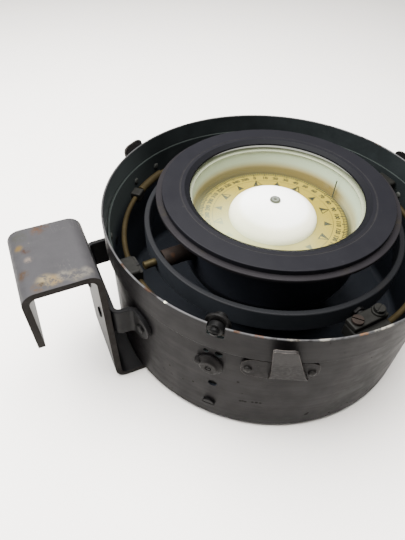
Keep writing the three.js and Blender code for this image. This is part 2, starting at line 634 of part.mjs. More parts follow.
// ---- card ----
const floatDome = () => {
  const outer = [];
  const inner = [];
  for (let k = 0; k <= 4; k++) {
    const a = Math.PI / 2 * k / 4;
    outer.push([FLOAT_R * Math.cos(a), FLOAT_BASE_Z + FLOAT_HEIGHT * Math.sin(a)]);
    const hollow = FLOAT_BASE_Z + (FLOAT_HEIGHT - FLOAT_WALL) * Math.sin(a);
    inner.push([(FLOAT_R - FLOAT_WALL) * Math.cos(a), hollow]);
  }
  outer[4] = [2.4, outer[4][1]];
  inner[4] = [2.4, inner[4][1]];
  return lathe([...outer, ...inner.reverse()], 28);
};

const addCard = () => {
  add('card', CARD_FACE, ringBand(...CARD_R, ...CARD_Z));
  add('float', WHITE_ENAMEL, floatDome());
  add('pivot_cap', RIVET_STEEL, lathe([
    [0, 91.6], [0.5, 90.2], [2.1, 90.2], [2.1, 95.9], [3.3, 95.9], [3.1, 96.8], [0, 96.9],
  ], 12));
  const carrier = cut(box(-33.5, 33.5, -15, 15, 80.9, 82), pillar(4, 75, 90, 0, 0, 16));
  add('magnet_carrier', BRASS, carrier);
  for (const [y, tag] of [[-11, 'a'], [11, 'b']]) {
    add(`magnet_${tag}`, RIVET_STEEL, rod(2, -24, 24, y, 78.6, 10));
  }
};

add('pan_body', PAN_PAINT, panBody());
add('coaming', PAN_PAINT, coaming());
addCatches();
addHook();
addWallFittings();
addHoop();
addBearings();
addRing();
addBowl();
addCard();

export default group;
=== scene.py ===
from math import acos, atan2, cos, hypot, pi, radians, sin, sqrt, tan

import bmesh
import bpy
from mathutils import Matrix, Vector


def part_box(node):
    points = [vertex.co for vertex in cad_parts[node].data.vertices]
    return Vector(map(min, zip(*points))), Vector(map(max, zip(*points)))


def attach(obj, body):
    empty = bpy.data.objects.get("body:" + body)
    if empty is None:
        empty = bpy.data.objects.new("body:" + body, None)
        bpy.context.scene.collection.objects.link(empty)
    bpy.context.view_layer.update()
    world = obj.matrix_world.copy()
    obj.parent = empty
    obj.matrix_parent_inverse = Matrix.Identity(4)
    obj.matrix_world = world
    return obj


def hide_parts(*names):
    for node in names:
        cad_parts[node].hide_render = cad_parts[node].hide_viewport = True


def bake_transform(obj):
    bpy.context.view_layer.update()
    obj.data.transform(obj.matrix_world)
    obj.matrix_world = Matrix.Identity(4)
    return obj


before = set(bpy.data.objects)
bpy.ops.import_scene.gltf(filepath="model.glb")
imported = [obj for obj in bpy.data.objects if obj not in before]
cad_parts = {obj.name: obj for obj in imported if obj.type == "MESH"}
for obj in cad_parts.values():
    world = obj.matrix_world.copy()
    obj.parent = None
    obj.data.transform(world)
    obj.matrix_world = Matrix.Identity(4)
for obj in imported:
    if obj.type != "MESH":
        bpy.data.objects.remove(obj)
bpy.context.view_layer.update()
MM = 0.001


# ---------- sizes, in mm, some read from the frame -----
def span(node):
    """The lowest and highest corner of a CAD node, in mm."""
    low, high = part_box(node)
    return low / MM, high / MM


RIM_R = span("coaming")[1].x
RIM_Z = span("coaming")[1].z
LIP_Z = span("coaming")[0].z
PAN_R = span("pan_body")[1].x
PAN_TOP = span("pan_body")[1].z
PAN_WALL = 1.4
HOOP_Z = (span("spring_hoop")[0].z + span("spring_hoop")[1].z) / 2
HOOP_ROD = (span("spring_hoop")[1].z - span("spring_hoop")[0].z) / 2
HOOP_R = span("spring_hoop")[1].x - HOOP_ROD
AXIS_Z = (span("gimbal_ring")[0].z + span("gimbal_ring")[1].z) / 2
RING_OUT = span("gimbal_ring")[1].x
RING_IN = RING_OUT - 3.6
CARD_TOP = span("card")[1].z
CARD_R = span("card")[1].x
FLOAT_R = span("float")[1].x
FLOAT_WALL = 1.1
CARD_HOLE = FLOAT_R - 1
FLANGE_R = span("bowl_flange")[1].x
BEZEL_R = span("bezel")[1].x
BEZEL_TOP = span("bezel")[1].z
CATCH_RIVET = 8.8
CATCH_RIVET_Z = 68
# name, azimuth, foot and tip of the tongue as (width, sideways shift), tip corner
CATCHES = (
    ("catch_fore", 0, (19, 0), (19, 0), 4),
    ("catch_port", 120, (19, 0), (19, 0), 4),
    ("catch_starboard", 239, (18.6, 4.6), (11.6, -2.4), 1.5),
)
CATCH_PLATE_T = 1.4
TONGUE_LINE = [(109.4, 69), (109.4, 65.4), (110.9, 65.4), (116.0, 97.9)]
TONGUE_TIP_Z = TONGUE_LINE[-1][1]
TONGUE_T = 1.5
TONGUE_BEND = 0.7
HOOK_AZ = 176.5
HOOK_T = 3.9
HOOK_BEND = 6.05
HOOK_LIP_Z = 58.4
SADDLE_T = 3.0
SADDLE_MID_Z = 57.5
SADDLE_HALF = 10.0
SADDLE_BEND = 4.3
SADDLE_NEAR = {"end": 21.5, "root": 13.4, "rivet": 18.0}
SADDLE_FAR = {"end": 28.4, "root": 20.3, "rivet": 24.9}
HOOK_LEG_X = 119.6
HOOK_FOOT_X = 102
HOOK_RIVET_Y = 13
HOOK_OUT = 161.9
HOOK_WIDTH = 51.6
HOOK_TOP = span("hook_bracket")[1].z
STUD_AZ = -139.5
STUD_Z = 96
BOSS_AZ = -140.5
BOSS_Z = 61.0
BOSS_R = 7.4
BOSS_STRETCH = 0.8
FERRULE_AZ = 133.5
JOINT_TUBE = (115, 130)
JOINT_TUBE_R = 2.9
CLAMP_SCREW_Z = 79.6
CAP_SCREW_X = 92.2
CAP_SCREW_Y = 7.5
LUBBER_X = 51.2
PLUG_AZ = 45
PLUG_Z = 88
NORTH = 73  # azimuth of the card's zero
PORT_STARBOARD = ((90, "port"), (-90, "starboard"))
FORE_AFT = ((0, "fore"), (180, "aft"))
FINE_TURN = 192
TURN = 144


# ---------- mesh tools ----------
def turn(azimuth):
    """Rotation about the pan's axis."""
    return Matrix.Rotation(radians(azimuth), 4, "Z")


def fillet(points, closed=True, steps=5):
    """A profile as vectors, with each (x, z, radius) corner rounded."""
    out = []
    last = len(points) - 1
    for i, point in enumerate(points):
        here = Vector(point[:2])
        radius = point[2] if len(point) > 2 else 0
        if radius == 0 or (not closed and i in (0, last)):
            out.append(here)
            continue
        back = Vector(points[i - 1][:2]) - here
        ahead = Vector(points[(i + 1) % len(points)][:2]) - here
        u, v = back.normalized(), ahead.normalized()
        half = acos(max(-1, min(1, u.dot(v)))) / 2
        reach = min(radius / tan(half), back.length * 0.49, ahead.length * 0.49)
        hub = here + (u + v).normalized() * (reach / cos(half))
        start, end = here + u * reach - hub, here + v * reach - hub
        sweep = atan2(start.x * end.y - start.y * end.x, start.dot(end))
        out += [hub + Matrix.Rotation(sweep * k / steps, 2) @ start for k in range(steps + 1)]
    return out


def revolve(profile, segments=TURN, start=0, arc=360):
    """A closed profile of (radius, height) turned about +Z."""
    bm = bmesh.new()
    whole = arc == 360
    rings = []
    for j in range(segments if whole else segments + 1):
        a = radians(start + arc * j / segments)
        rings.append([bm.verts.new((p[0] * cos(a), p[0] * sin(a), p[1])) for p in profile])
    count = len(profile)
    for j in range(segments):
        near, far = rings[j], rings[(j + 1) % len(rings)]
        for i in range(count):
            k = (i + 1) % count
            if profile[i][0] < 1e-6 and profile[k][0] < 1e-6:
                continue
            bm.faces.new((near[i], near[k], far[k], far[i]))
    if not whole:
        bm.faces.new(rings[0])
        bm.faces.new(rings[-1][::-1])
    bmesh.ops.remove_doubles(bm, verts=bm.verts, dist=1e-5)
    bmesh.ops.recalc_face_normals(bm, faces=bm.faces)
    return bm


def lathe(profile, segments):
    """A closed profile with rounded corners, turned about +Z."""
    return revolve(fillet(profile), segments)


def along_x(bm, y=0, z=0):
    """Lays a shape made about +Z along +X."""
    bm.transform(Matrix.Translation((0, y, z)) @ Matrix.Rotation(pi / 2, 4, "Y"))
    return bm


def slab(outline, depth, cuts=()):
    """A flat outline with thickness, cut across at each x in cuts so that it can bend."""
    bm = bmesh.new()
    bm.faces.new([bm.verts.new((p[0], p[1], 0)) for p in outline])
    for x in cuts:
        everything = bm.verts[:] + bm.edges[:] + bm.faces[:]
        bmesh.ops.bisect_plane(bm, geom=everything, plane_co=(x, 0, 0), plane_no=(1, 0, 0))
    grown = bmesh.ops.extrude_face_region(bm, geom=bm.faces[:], use_keep_orig=True)
    moved = [g for g in grown["geom"] if isinstance(g, bmesh.types.BMVert)]
    bmesh.ops.translate(bm, verts=moved, vec=(0, 0, depth))
    bmesh.ops.recalc_face_normals(bm, faces=bm.faces)
    return bm


def block(low, high, radius=0.8, segments=3):
    """A box with rounded edges."""
    bm = bmesh.new()
    bmesh.ops.create_cube(bm, size=1)
    low, high = Vector(low), Vector(high)
    bm.transform(Matrix.Translation((low + high) / 2) @ Matrix.Diagonal((*(high - low), 1)))
    if radius:
        bmesh.ops.bevel(bm, geom=bm.edges[:], offset=radius, segments=segments, affect="EDGES", profile=0.5)
    return bm


def merged(*parts):
    """Several shapes as one."""
    bm = parts[0]
    for part in parts[1:]:
        scratch = bpy.data.meshes.new("scratch")
        part.to_mesh(scratch)
        bm.from_mesh(scratch)
        part.free()
        bpy.data.meshes.remove(scratch)
    return bm


def solid_object(name, bm):
    """A shape as an object in the scene."""
    mesh = bpy.data.meshes.new(name)
    bm.to_mesh(mesh)
    bm.free()
    obj = bpy.data.objects.new(name, mesh)
    bpy.context.scene.collection.objects.link(obj)
    return obj


def carved(bm, *tools):
    """bm less the tools."""
    obj = solid_object("carving", bm)
    cutters = [solid_object("cutter", tool) for tool in tools]
    for cutter in cutters:
        step = obj.modifiers.new("cut", "BOOLEAN")
        step.operation, step.solver, step.object = "DIFFERENCE", "EXACT", cutter
    bpy.context.view_layer.update()
    result = bmesh.new()
    result.from_object(obj, bpy.context.evaluated_depsgraph_get())
    for used in (obj, *cutters):
        bpy.data.objects.remove(used)
    return result


def bent_strip(path, bend, steps=8):
    """Centre line of a bent strip with round bends, as (point, direction) pairs."""
    nodes = [Vector(p) for p in path]
    line = [(nodes[0], (nodes[1] - nodes[0]).normalized())]
    for i in range(1, len(nodes) - 1):
        u = (nodes[i] - nodes[i - 1]).normalized()
        v = (nodes[i + 1] - nodes[i]).normalized()
        sweep = atan2(u.x * v.y - u.y * v.x, u.dot(v))
        start = nodes[i] - u * bend * tan(abs(sweep) / 2)
        side = 1 if sweep > 0 else -1
        hub = start + Vector((-u.y, u.x)) * side * bend
        for k in range(steps + 1):
            spin = Matrix.Rotation(sweep * k / steps, 2)
            line.append((hub + spin @ (start - hub), spin @ u))
    line.append((nodes[-1], (nodes[-1] - nodes[-2]).normalized()))
    return line


def strip_outline(path, thickness, bend):
    """The edge-on outline of a bent strip."""
    line = bent_strip(path, bend)
    left = [p + Vector((-d.y, d.x)) * thickness / 2 for p, d in line]
    right = [p - Vector((-d.y, d.x)) * thickness / 2 for p, d in line]
    return left + right[::-1]


def finely(line, step=0.9):
    """The line of a bent strip with points no more than about a step apart."""
    fine = []
    for (p, d), (q, e) in zip(line, line[1:]):
        parts = max(1, int((q - p).length / step))
        fine += [(p.lerp(q, k / parts), d.lerp(e, k / parts).normalized()) for k in range(parts)]
    return fine + [line[-1]]


def skinned(bm, rows):
    """Joins sections of equal length, one after the other, into a closed shape."""
    for near, far in zip(rows, rows[1:]):
        for i in range(len(near)):
            k = (i + 1) % len(near)
            bm.faces.new((near[i], near[k], far[k], far[i]))
    bm.faces.new(rows[0])
    bm.faces.new(rows[-1][::-1])
    bmesh.ops.recalc_face_normals(bm, faces=bm.faces)
    return bm


def piece(name, bm, materials, body, nodes=(), at=None, bevel=0, pick=None, sharp=38):
    """Makes a finished piece from a shape in mm and lets it ride on its body."""
    if at is not None:
        bm.transform(at)
    bm.normal_update()
    if pick:
        for face in bm.faces:
            face.material_index = pick(face.calc_center_median(), face.normal)
    bmesh.ops.scale(bm, vec=(MM, MM, MM), verts=bm.verts)
    obj = solid_object(name, bm)
    for material in materials if isinstance(materials, (list, tuple)) else [materials]:
        obj.data.materials.append(material)
    for polygon in obj.data.polygons:
        polygon.use_smooth = True
    obj.data.set_sharp_from_angle(angle=radians(sharp))
    if bevel:
        soften = obj.modifiers.new("soft_edges", "BEVEL")
        soften.width, soften.segments, soften.limit_method = bevel * MM, 3, "ANGLE"
        soften.angle_limit = radians(sharp)
        soften.use_clamp_overlap = True
    level = obj.modifiers.new("flat_faces", "WEIGHTED_NORMAL")
    level.keep_sharp = True
    if body:
        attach(obj, body)
    if nodes:
        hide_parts(*nodes)
    return obj


# ---------- materials ----------
STUDIO = 6.2  # light on the faces that look up
SIDE = 10.8  # light on the upright faces, which also mirror the pale floor
BOWL = 4.5  # light inside the bowl
CARD_LIGHT = 8.5  # light on the card, with the haze of the glass over it
SHADED = 2.2  # light inside the pan


FILM_GAIN = 0.216
FILM_POWER = 1.227
BRIGHTEST = 0.86


def tone(r, g, b, light=STUDIO):
    """The surface colour that shows as this display colour, 0 to 255, under the view's film curve."""
    def channel(c):
        part = c / 255
        return min(BRIGHTEST, FILM_GAIN * (part / (1 - part)) ** FILM_POWER / light)
    return (channel(r), channel(g), channel(b), 1)


class Finish:
    """A Principled material built up in layers of paint, wear, rust and dirt, with painted light, shade and
    reflection in some materials.
    """

    def __init__(self, name, colour, rough, metal=0.0, mottle=0.12, mottle_scale=45):
        self.material = bpy.data.materials.new(name)
        self.material.use_nodes = True
        self.tree = self.material.node_tree
        self.tree.nodes.clear()
        out = self.node("ShaderNodeOutputMaterial")
        self.shader = self.node("ShaderNodeBsdfPrincipled")
        self.tree.links.new(self.shader.outputs[0], out.inputs["Surface"])
        self.place = self.node("ShaderNodeTexCoord").outputs["Object"]
        blotch = self.ramp(self.noise(mottle_scale, 4, 0.6), 0.3, 0.7)
        dark = tuple(c * (1 - mottle) for c in colour[:3]) + (1,)
        light = tuple(min(1, c * (1 + mottle)) for c in colour[:3]) + (1,)
        self.colour = self.mix(blotch, dark, light)
        sheen = self.ramp(self.noise(mottle_scale * 3, 3, 0.6), 0.3, 0.7)
        self.rough = self.blend(sheen, rough * 0.85, min(1, rough * 1.15))
        self.metal = metal
        self.height = None

    def node(self, kind, **settings):
        made = self.tree.nodes.new(kind)
        for key, value in settings.items():
            setattr(made, key, value)
        return made

    def put(self, socket, value):
        if isinstance(value, bpy.types.NodeSocket):
            self.tree.links.new(value, socket)
        else:
            socket.default_value = value

    def noise(self, scale, detail=3, rough=0.55, stretch=None, distortion=0.0):
        place = self.place
        if stretch:
            mapping = self.node("ShaderNodeMapping")
            self.tree.links.new(place, mapping.inputs["Vector"])
            mapping.inputs["Scale"].default_value = stretch
            place = mapping.outputs[0]
        made = self.node("ShaderNodeTexNoise")
        self.tree.links.new(place, made.inputs["Vector"])
        self.put(made.inputs["Scale"], scale)
        self.put(made.inputs["Detail"], detail)
        self.put(made.inputs["Roughness"], rough)
        self.put(made.inputs["Distortion"], distortion)
        return made.outputs["Fac"]

    def ramp(self, value, low, high):
        """0 below low, 1 above high, smooth between; falls if low is above high."""
        made = self.node("ShaderNodeMapRange", interpolation_type="SMOOTHSTEP")
        self.put(made.inputs["Value"], value)
        rising = low < high
        self.put(made.inputs["From Min"], min(low, high))
        self.put(made.inputs["From Max"], max(low, high))
        self.put(made.inputs["To Min"], 0.0 if rising else 1.0)
        self.put(made.inputs["To Max"], 1.0 if rising else 0.0)
        return made.outputs[0]

    def math(self, operation, a, b=0.0):
        made = self.node("ShaderNodeMath", operation=operation)
        self.put(made.inputs[0], a)
        self.put(made.inputs[1], b)
        return made.outputs[0]

    def mix(self, factor, a, b):
        made = self.node("ShaderNodeMix", data_type="RGBA")
        self.put(made.inputs[0], factor)
        self.put(made.inputs[6], a)
        self.put(made.inputs[7], b)
        return made.outputs[2]

    def blend(self, factor, a, b):
        made = self.node("ShaderNodeMix", data_type="FLOAT")
        self.put(made.inputs[0], factor)
        self.put(made.inputs[2], a)
        self.put(made.inputs[3], b)
        return made.outputs[0]

    def edges(self, radius=0.9, low=0.02, high=0.22, broken=0.5):
        """1 on convex and concave edges, broken up by noise."""
        rounded = self.node("ShaderNodeBevel", samples=4)
        self.put(rounded.inputs["Radius"], radius * MM)
        true = self.node("ShaderNodeNewGeometry").outputs["Normal"]
        dot = self.node("ShaderNodeVectorMath", operation="DOT_PRODUCT")
        self.tree.links.new(rounded.outputs[0], dot.inputs[0])
        self.tree.links.new(true, dot.inputs[1])
        turned = self.math("SUBTRACT", 1.0, dot.outputs["Value"])
        worn = self.ramp(self.noise(160, 4, 0.7), broken - 0.18, broken + 0.08)
        return self.math("MULTIPLY", self.ramp(turned, low, high), worn)

    def spots(self, scale, cover, soft=0.06, fine=0.65):
        """Patches over about the given share of the surface."""
        edge = 0.72 - 0.42 * cover
        return self.ramp(self.noise(scale, 6, fine), edge, edge + soft)

    def scratches(self, stretch, cover=0.35, width=0.012):
        """Thin broken lines, long where the stretch is small."""
        line = self.math("ABSOLUTE", self.math("SUBTRACT", self.noise(1, 2, 0.5, stretch), 0.5))
        where = self.ramp(self.noise(38, 2, 0.5), 0.72 - 0.4 * cover, 0.8 - 0.4 * cover)
        return self.math("MULTIPLY", self.ramp(line, width, 0.0), where)

    def between(self, axis, low, high, soft):
        """1 where the object's x, y or z lies between low and high, in mm."""
        parts = self.node("ShaderNodeSeparateXYZ")
        self.tree.links.new(self.place, parts.inputs[0])
        value = parts.outputs["XYZ".index(axis)]
        rise = self.ramp(value, (low - soft) * MM, low * MM)
        fall = self.ramp(value, (high + soft) * MM, high * MM)
        return self.math("MULTIPLY", rise, fall)

    def ball(self, centre, inner, outer):
        """1 within inner mm of a point, 0 beyond outer mm."""
        gap = self.node("ShaderNodeVectorMath", operation="DISTANCE")
        self.tree.links.new(self.place, gap.inputs[0])
        gap.inputs[1].default_value = [c * MM for c in centre]
        return self.ramp(gap.outputs["Value"], outer * MM, inner * MM)

    def radial(self, low, high, soft):
        """1 where the distance from the vertical axis lies between low and high, in mm."""
        flat = self.node("ShaderNodeVectorMath", operation="MULTIPLY")
        self.tree.links.new(self.place, flat.inputs[0])
        flat.inputs[1].default_value = (1, 1, 0)
        length = self.node("ShaderNodeVectorMath", operation="LENGTH")
        self.tree.links.new(flat.outputs[0], length.inputs[0])
        rise = self.ramp(length.outputs["Value"], (low - soft) * MM, low * MM)
        fall = self.ramp(length.outputs["Value"], (high + soft) * MM, high * MM)
        return self.math("MULTIPLY", rise, fall)

    def layer(self, mask, colour, rough=None, metal=None, amount=1.0, raised=0.0):
        """Lays a colour over what is there, where the mask is 1."""
        if amount != 1.0:
            mask = self.math("MULTIPLY", mask, amount)
        self.colour = self.mix(mask, self.colour, colour)
        if rough is not None:
            self.rough = self.blend(mask, self.rough, rough)
        if metal is not None:
            self.metal = self.blend(mask, self.metal, metal)
        if raised:
            part = self.math("MULTIPLY", mask, raised)
            self.height = part if self.height is None else self.math("ADD", self.height, part)
        return self

    def done(self, grain=0.15, grain_scale=900, bump=0.25, **fixed):
        """Joins the layers to the shader. fixed sets the sockets that are the same all over."""
        fine = self.math("MULTIPLY", self.noise(grain_scale, 3, 0.6), grain)
        height = fine if self.height is None else self.math("ADD", fine, self.height)
        relief = self.node("ShaderNodeBump")
        self.put(relief.inputs["Strength"], bump)
        self.put(relief.inputs["Distance"], 0.0004)
        self.put(relief.inputs["Height"], height)
        self.put(self.shader.inputs["Normal"], relief.outputs[0])
        self.put(self.shader.inputs["Base Color"], self.colour)
        self.put(self.shader.inputs["Roughness"], self.rough)
        self.put(self.shader.inputs["Metallic"], self.metal)
        fixed.setdefault("Specular_IOR_Level", 0.045)
        for socket, value in fixed.items():
            self.put(self.shader.inputs[socket.replace("_", " ")], value)
        return self.material


# wear on the hook's top: place out and across, size in mm, display colour
HOOK_MARKS = (
    (0.53, -0.93, 4.0, (118, 84, 56)), (0.60, -0.80, 3.0, (132, 104, 84)), (0.87, -0.41, 2.4, (156, 136, 84)),
    (0.79, -0.27, 2.4, (104, 76, 62)), (0.78, 0.02, 2.2, (166, 156, 148)), (0.90, 0.39, 3.4, (116, 92, 68)),
    (0.65, 0.74, 4.4, (184, 174, 146)), (0.54, 0.78, 3.6, (176, 160, 122)),
    (0.44, 0.72, 3.4, (164, 160, 152)),
    (0.30, 0.80, 4.0, (166, 160, 148)), (0.16, 0.78, 3.4, (160, 156, 150)), (0.76, 0.86, 3.0, (138, 112, 80)),
    (0.70, 0.80, 1.6, (66, 56, 50)), (0.83, -0.75, 4.6, (108, 108, 102)),
)
# wear on the rim: azimuth, size, display colour
RIM_MARKS = (
    (-128.5, 2.6, (158, 116, 82)), (-134, 2.4, (132, 100, 76)), (-161, 3.2, (112, 84, 66)),
    (-172.5, 3.4, (108, 80, 62)),
    (-154.5, 1.2, (236, 236, 232)), (-112, 5.0, (190, 188, 184)), (-96, 7.0, (196, 194, 188)),
    (-84, 4.0, (140, 114, 90)),
    (-120, 4.0, (176, 172, 166)), (-102, 3.0, (170, 140, 108)), (-70, 5.0, (150, 144, 136)),
)
# dents and scrapes on the wall: azimuth, height, size
WALL_MARKS = (
    (-130.2, 29.4, 1.2), (-129.4, 29.8, 1.1), (-128.6, 29.6, 1.2), (-126.4, 30.4, 1.1), (-125.2, 30.6, 1.3),
    (-124.0, 30.5, 1.1), (-131.8, 49.8, 1.1), (-108.0, 15.1, 1.6), (-107.6, 16.6, 1.0), (-83.6, 13.6, 1.3),
    (-146.0, 33.0, 1.0), (-99.0, 9.0, 1.2),
)
RUST = tone(112, 78, 54)
RUST_DARK = tone(70, 54, 44)


def pan_outside():
    f = Finish("pan_grey_paint", tone(78, 75, 78, SIDE), 0.46, 0.0, 0.10, 30)
    f.layer(f.spots(14, 0.35, 0.25), tone(70, 66, 66, SIDE), 0.5, amount=0.6)
    f.layer(f.ramp(f.noise(1, 5, 0.7, (12, 12, 330)), 0.42, 0.66), tone(100, 96, 99, SIDE), 0.4, amount=0.4)
    f.layer(f.ramp(f.noise(1, 4, 0.7, (16, 16, 210)), 0.6, 0.4), tone(64, 60, 62, SIDE), 0.52, amount=0.4)
    f.layer(f.scratches((55, 55, 900), 0.30, 0.010), tone(124, 120, 118, SIDE), 0.35, amount=0.5)
    f.layer(f.scratches((40, 40, 1300), 0.22, 0.008), tone(42, 38, 38, SIDE), 0.6, amount=0.8)
    f.layer(f.spots(210, 0.10, 0.03), tone(44, 38, 34, SIDE), 0.8, 0.0, raised=-0.4)
    f.layer(f.spots(120, 0.05, 0.03), RUST_DARK, 0.85, 0.0, amount=0.7)
    f.layer(f.between("Z", -5, 3, 4), tone(58, 53, 50, SIDE), 0.6, amount=0.6)
    for azimuth, height, size in WALL_MARKS:
        dent = turn(azimuth) @ Vector((PAN_R, 0, height))
        f.layer(f.ball(dent, size * 0.4, size), tone(34, 30, 30, SIDE), 0.75, amount=0.9, raised=-0.5)
    f.layer(f.edges(0.7), tone(118, 113, 108, SIDE), 0.4, 0.1, amount=0.6)
    return f.done(0.25, 700, 0.22)


def pan_inside():
    f = Finish("pan_black_paint", tone(37, 42, 43, SHADED), 0.4, 0.0, 0.2, 40)
    f.layer(f.spots(60, 0.35, 0.2), tone(46, 52, 50, SHADED), 0.5, amount=0.5)
    f.layer(f.spots(150, 0.12, 0.04), tone(62, 58, 48, SHADED), 0.8, amount=0.35)
    f.layer(f.scratches((60, 60, 500), 0.3, 0.01), tone(74, 78, 76, SHADED), 0.5, amount=0.35)
    # Painted light: paler on the inner wall between x -130 and -78, which lies in shade.
    f.layer(f.between("X", -130, -78, 40), tone(84, 92, 92, SHADED), 0.5, amount=0.7)
    # Painted shade: darker low in the pan, below z 58.
    f.layer(f.between("Z", -10, 58, 14), tone(34, 38, 46, SHADED), 0.6, amount=0.92)
    return f.done(0.3, 500, 0.25)


def pan_ledge():
    f = Finish("pan_ledge_worn", tone(38, 44, 42, SHADED), 0.45, 0.1, 0.25, 70)
    f.layer(f.spots(90, 0.35, 0.1), tone(34, 38, 38, SHADED), 0.55, amount=0.8)
    f.layer(f.spots(160, 0.08, 0.04), RUST_DARK, 0.8, amount=0.6)
    return f.done(0.3, 700, 0.3)


def rim_metal():
    f = Finish("rim_worn_edge", tone(132, 132, 134), 0.4, 0.3, 0.2, 90)
    f.layer(f.spots(45, 0.42, 0.08), tone(58, 55, 54), 0.5, 0.1)
    f.layer(f.spots(70, 0.16, 0.05), RUST, 0.85, 0.0, raised=0.5)
    f.layer(f.spots(130, 0.20, 0.04), tone(164, 162, 158), 0.34, 0.5)
    torn = f.ramp(f.noise(320, 4, 0.7), 0.36, 0.54)
    for azimuth, size, colour in RIM_MARKS:
        spot = turn(azimuth) @ Vector((RIM_R - 0.6, 0, RIM_Z))
        f.layer(f.math("MULTIPLY", f.ball(spot, size * 0.5, size), torn), tone(*colour), 0.7, 0.0,
                raised=-0.3)
    return f.done(0.3, 900, 0.3)


def on_hook(out, across):
    """A point on the hook's top. out runs 0 to 1 from the long leg, across -1 to 1 over the width."""
    x = HOOK_LEG_X + out * (HOOK_OUT - HOOK_LEG_X)
    return tuple(turn(HOOK_AZ) @ Vector((x, across * HOOK_WIDTH / 2, HOOK_TOP)))


def hook_face():
    f = Finish("hook_grey_paint", tone(112, 111, 115), 0.54, 0.1, 0.09, 60)
    f.layer(f.spots(60, 0.5, 0.2), tone(98, 97, 101), 0.5, amount=0.6)
    f.layer(f.spots(150, 0.4, 0.2), tone(126, 124, 126), 0.5, amount=0.4)
    f.layer(f.noise(1, 5, 0.7, (900, 90, 900)), tone(126, 124, 126), amount=0.25)
    f.layer(f.scratches((800, 60, 400), 0.5, 0.012), tone(162, 160, 157), 0.4, amount=0.5)
    f.layer(f.scratches((70, 900, 300), 0.3, 0.01), tone(82, 78, 76), 0.5, amount=0.5)
    f.layer(f.spots(85, 0.13, 0.05), tone(108, 92, 76), 0.8, 0.0, amount=0.75, raised=0.4)
    f.layer(f.spots(260, 0.09, 0.04), tone(88, 72, 60), 0.8, 0.0, amount=0.8)
    f.layer(f.spots(170, 0.06, 0.03), tone(182, 176, 162), 0.6, amount=0.8)
    ragged = f.ramp(f.noise(210, 5, 0.75), 0.38, 0.56)
    for out, across, size, colour in HOOK_MARKS:
        patch_mask = f.math("MULTIPLY", f.ball(on_hook(out, across), size * 0.35, size * 1.5), ragged)
        f.layer(patch_mask, tone(*colour), 0.75, 0.0, amount=0.9, raised=-0.3)
    f.layer(f.edges(1.0), tone(96, 84, 72), 0.6, 0.1, amount=0.7)
    # Painted shade: the hook's faces below its top plate are made darker than the top.
    f.layer(f.between("Z", -10, HOOK_TOP - 9, 5), tone(76, 72, 71, SIDE), 0.5, amount=0.9)
    return f.done(0.4, 800, 0.3)


def hook_cut():
    f = Finish("hook_cut_edge", tone(96, 89, 85, SIDE), 0.62, 0.1, 0.2, 90)
    f.layer(f.spots(120, 0.4, 0.15), tone(78, 69, 60, SIDE), 0.7, amount=0.6)
    f.layer(f.spots(70, 0.08, 0.05), RUST, 0.85, 0.0, amount=0.7)
    f.layer(f.edges(0.6), tone(116, 111, 104, SIDE), 0.45, 0.2, amount=0.5)
    return f.done(0.5, 700, 0.35)


def saddle_paint():
    f = Finish("saddle_dark_paint", tone(76, 76, 79, SIDE), 0.42, 0.1, 0.12, 50)
    f.layer(f.scratches((300, 300, 60), 0.35, 0.01), tone(104, 102, 102, SIDE), 0.4, amount=0.4)
    f.layer(f.spots(190, 0.08, 0.03), RUST_DARK, 0.85, 0.0, amount=0.8)
    f.layer(f.edges(0.9), tone(112, 111, 112, SIDE), 0.4, 0.3, amount=0.8)
    return f.done(0.3, 800, 0.25)


def steel(name, colour, rust=0.12, rough=0.46, worn=(150, 147, 142)):
    f = Finish(name, colour, rough, 0.1, 0.18, 160)
    f.layer(f.spots(230, 0.4, 0.15), tuple(c * 0.5 for c in colour[:3]) + (1,), 0.55, 0.1, amount=0.6)
    f.layer(f.spots(170, rust, 0.06), RUST, 0.85, 0.0, amount=0.6, raised=0.4)
    f.layer(f.scratches((400, 400, 120), 0.4, 0.02), tone(*worn), 0.38, 0.4, amount=0.4)
    f.layer(f.edges(0.5), tone(*worn), 0.36, 0.4, amount=0.6)
    return f.done(0.4, 1100, 0.3)


def catch_steel(name="catch_worn_steel", light=SIDE):
    f = Finish(name, tone(36, 33, 34, light), 0.5, 0.0, 0.18, 160)
    f.layer(f.spots(190, 0.45, 0.2), tone(30, 28, 29, light), 0.55, amount=0.6)
    # Lighter towards the top of the tongue: worn metal, and a painted reflection of the sky on the upper part
    # that leans inward.
    f.layer(f.between("Z", 88, 99, 7), tone(62, 59, 59, light), 0.46, amount=0.7)
    f.layer(f.spots(240, 0.10, 0.04), tone(128, 120, 110, light), 0.5, amount=0.55)
    f.layer(f.spots(170, 0.06, 0.06), RUST, 0.85, 0.0, amount=0.6, raised=0.4)
    f.layer(f.edges(0.6), tone(142, 137, 130, light), 0.38, 0.3, amount=0.8)
    return f.done(0.4, 1100, 0.35)


def rod_brass():
    f = Finish("tarnished_rod", tone(84, 72, 44), 0.46, 0.2, 0.2, 70)
    f.layer(f.spots(90, 0.45, 0.2), tone(72, 61, 42), 0.55, 0.1, amount=0.7)
    f.layer(f.noise(1, 4, 0.6, (500, 500, 60)), tone(112, 96, 58), amount=0.25)
    f.layer(f.spots(160, 0.08, 0.05), RUST, 0.8, 0.0, amount=0.6)
    # Painted shade: the hoop is near-black where it shows through the rim's notch, inside the pan.
    notch = turn(STUD_AZ + 3) @ Vector((HOOP_R, 0, HOOP_Z))
    f.layer(f.ball(notch, 12, 20), tone(34, 31, 26), 0.6, amount=0.95)
    return f.done(0.4, 1000, 0.3)


def brass(name="dull_brass", colour=(86, 76, 46)):
    f = Finish(name, tone(*colour), 0.42, 0.4, 0.2, 120)
    f.layer(f.spots(200, 0.4, 0.15), tone(66, 56, 40), 0.6, 0.2, amount=0.7)
    f.layer(f.edges(0.5), tone(168, 152, 104), 0.34, 0.5, amount=0.6)
    return f.done(0.3, 1000, 0.25)


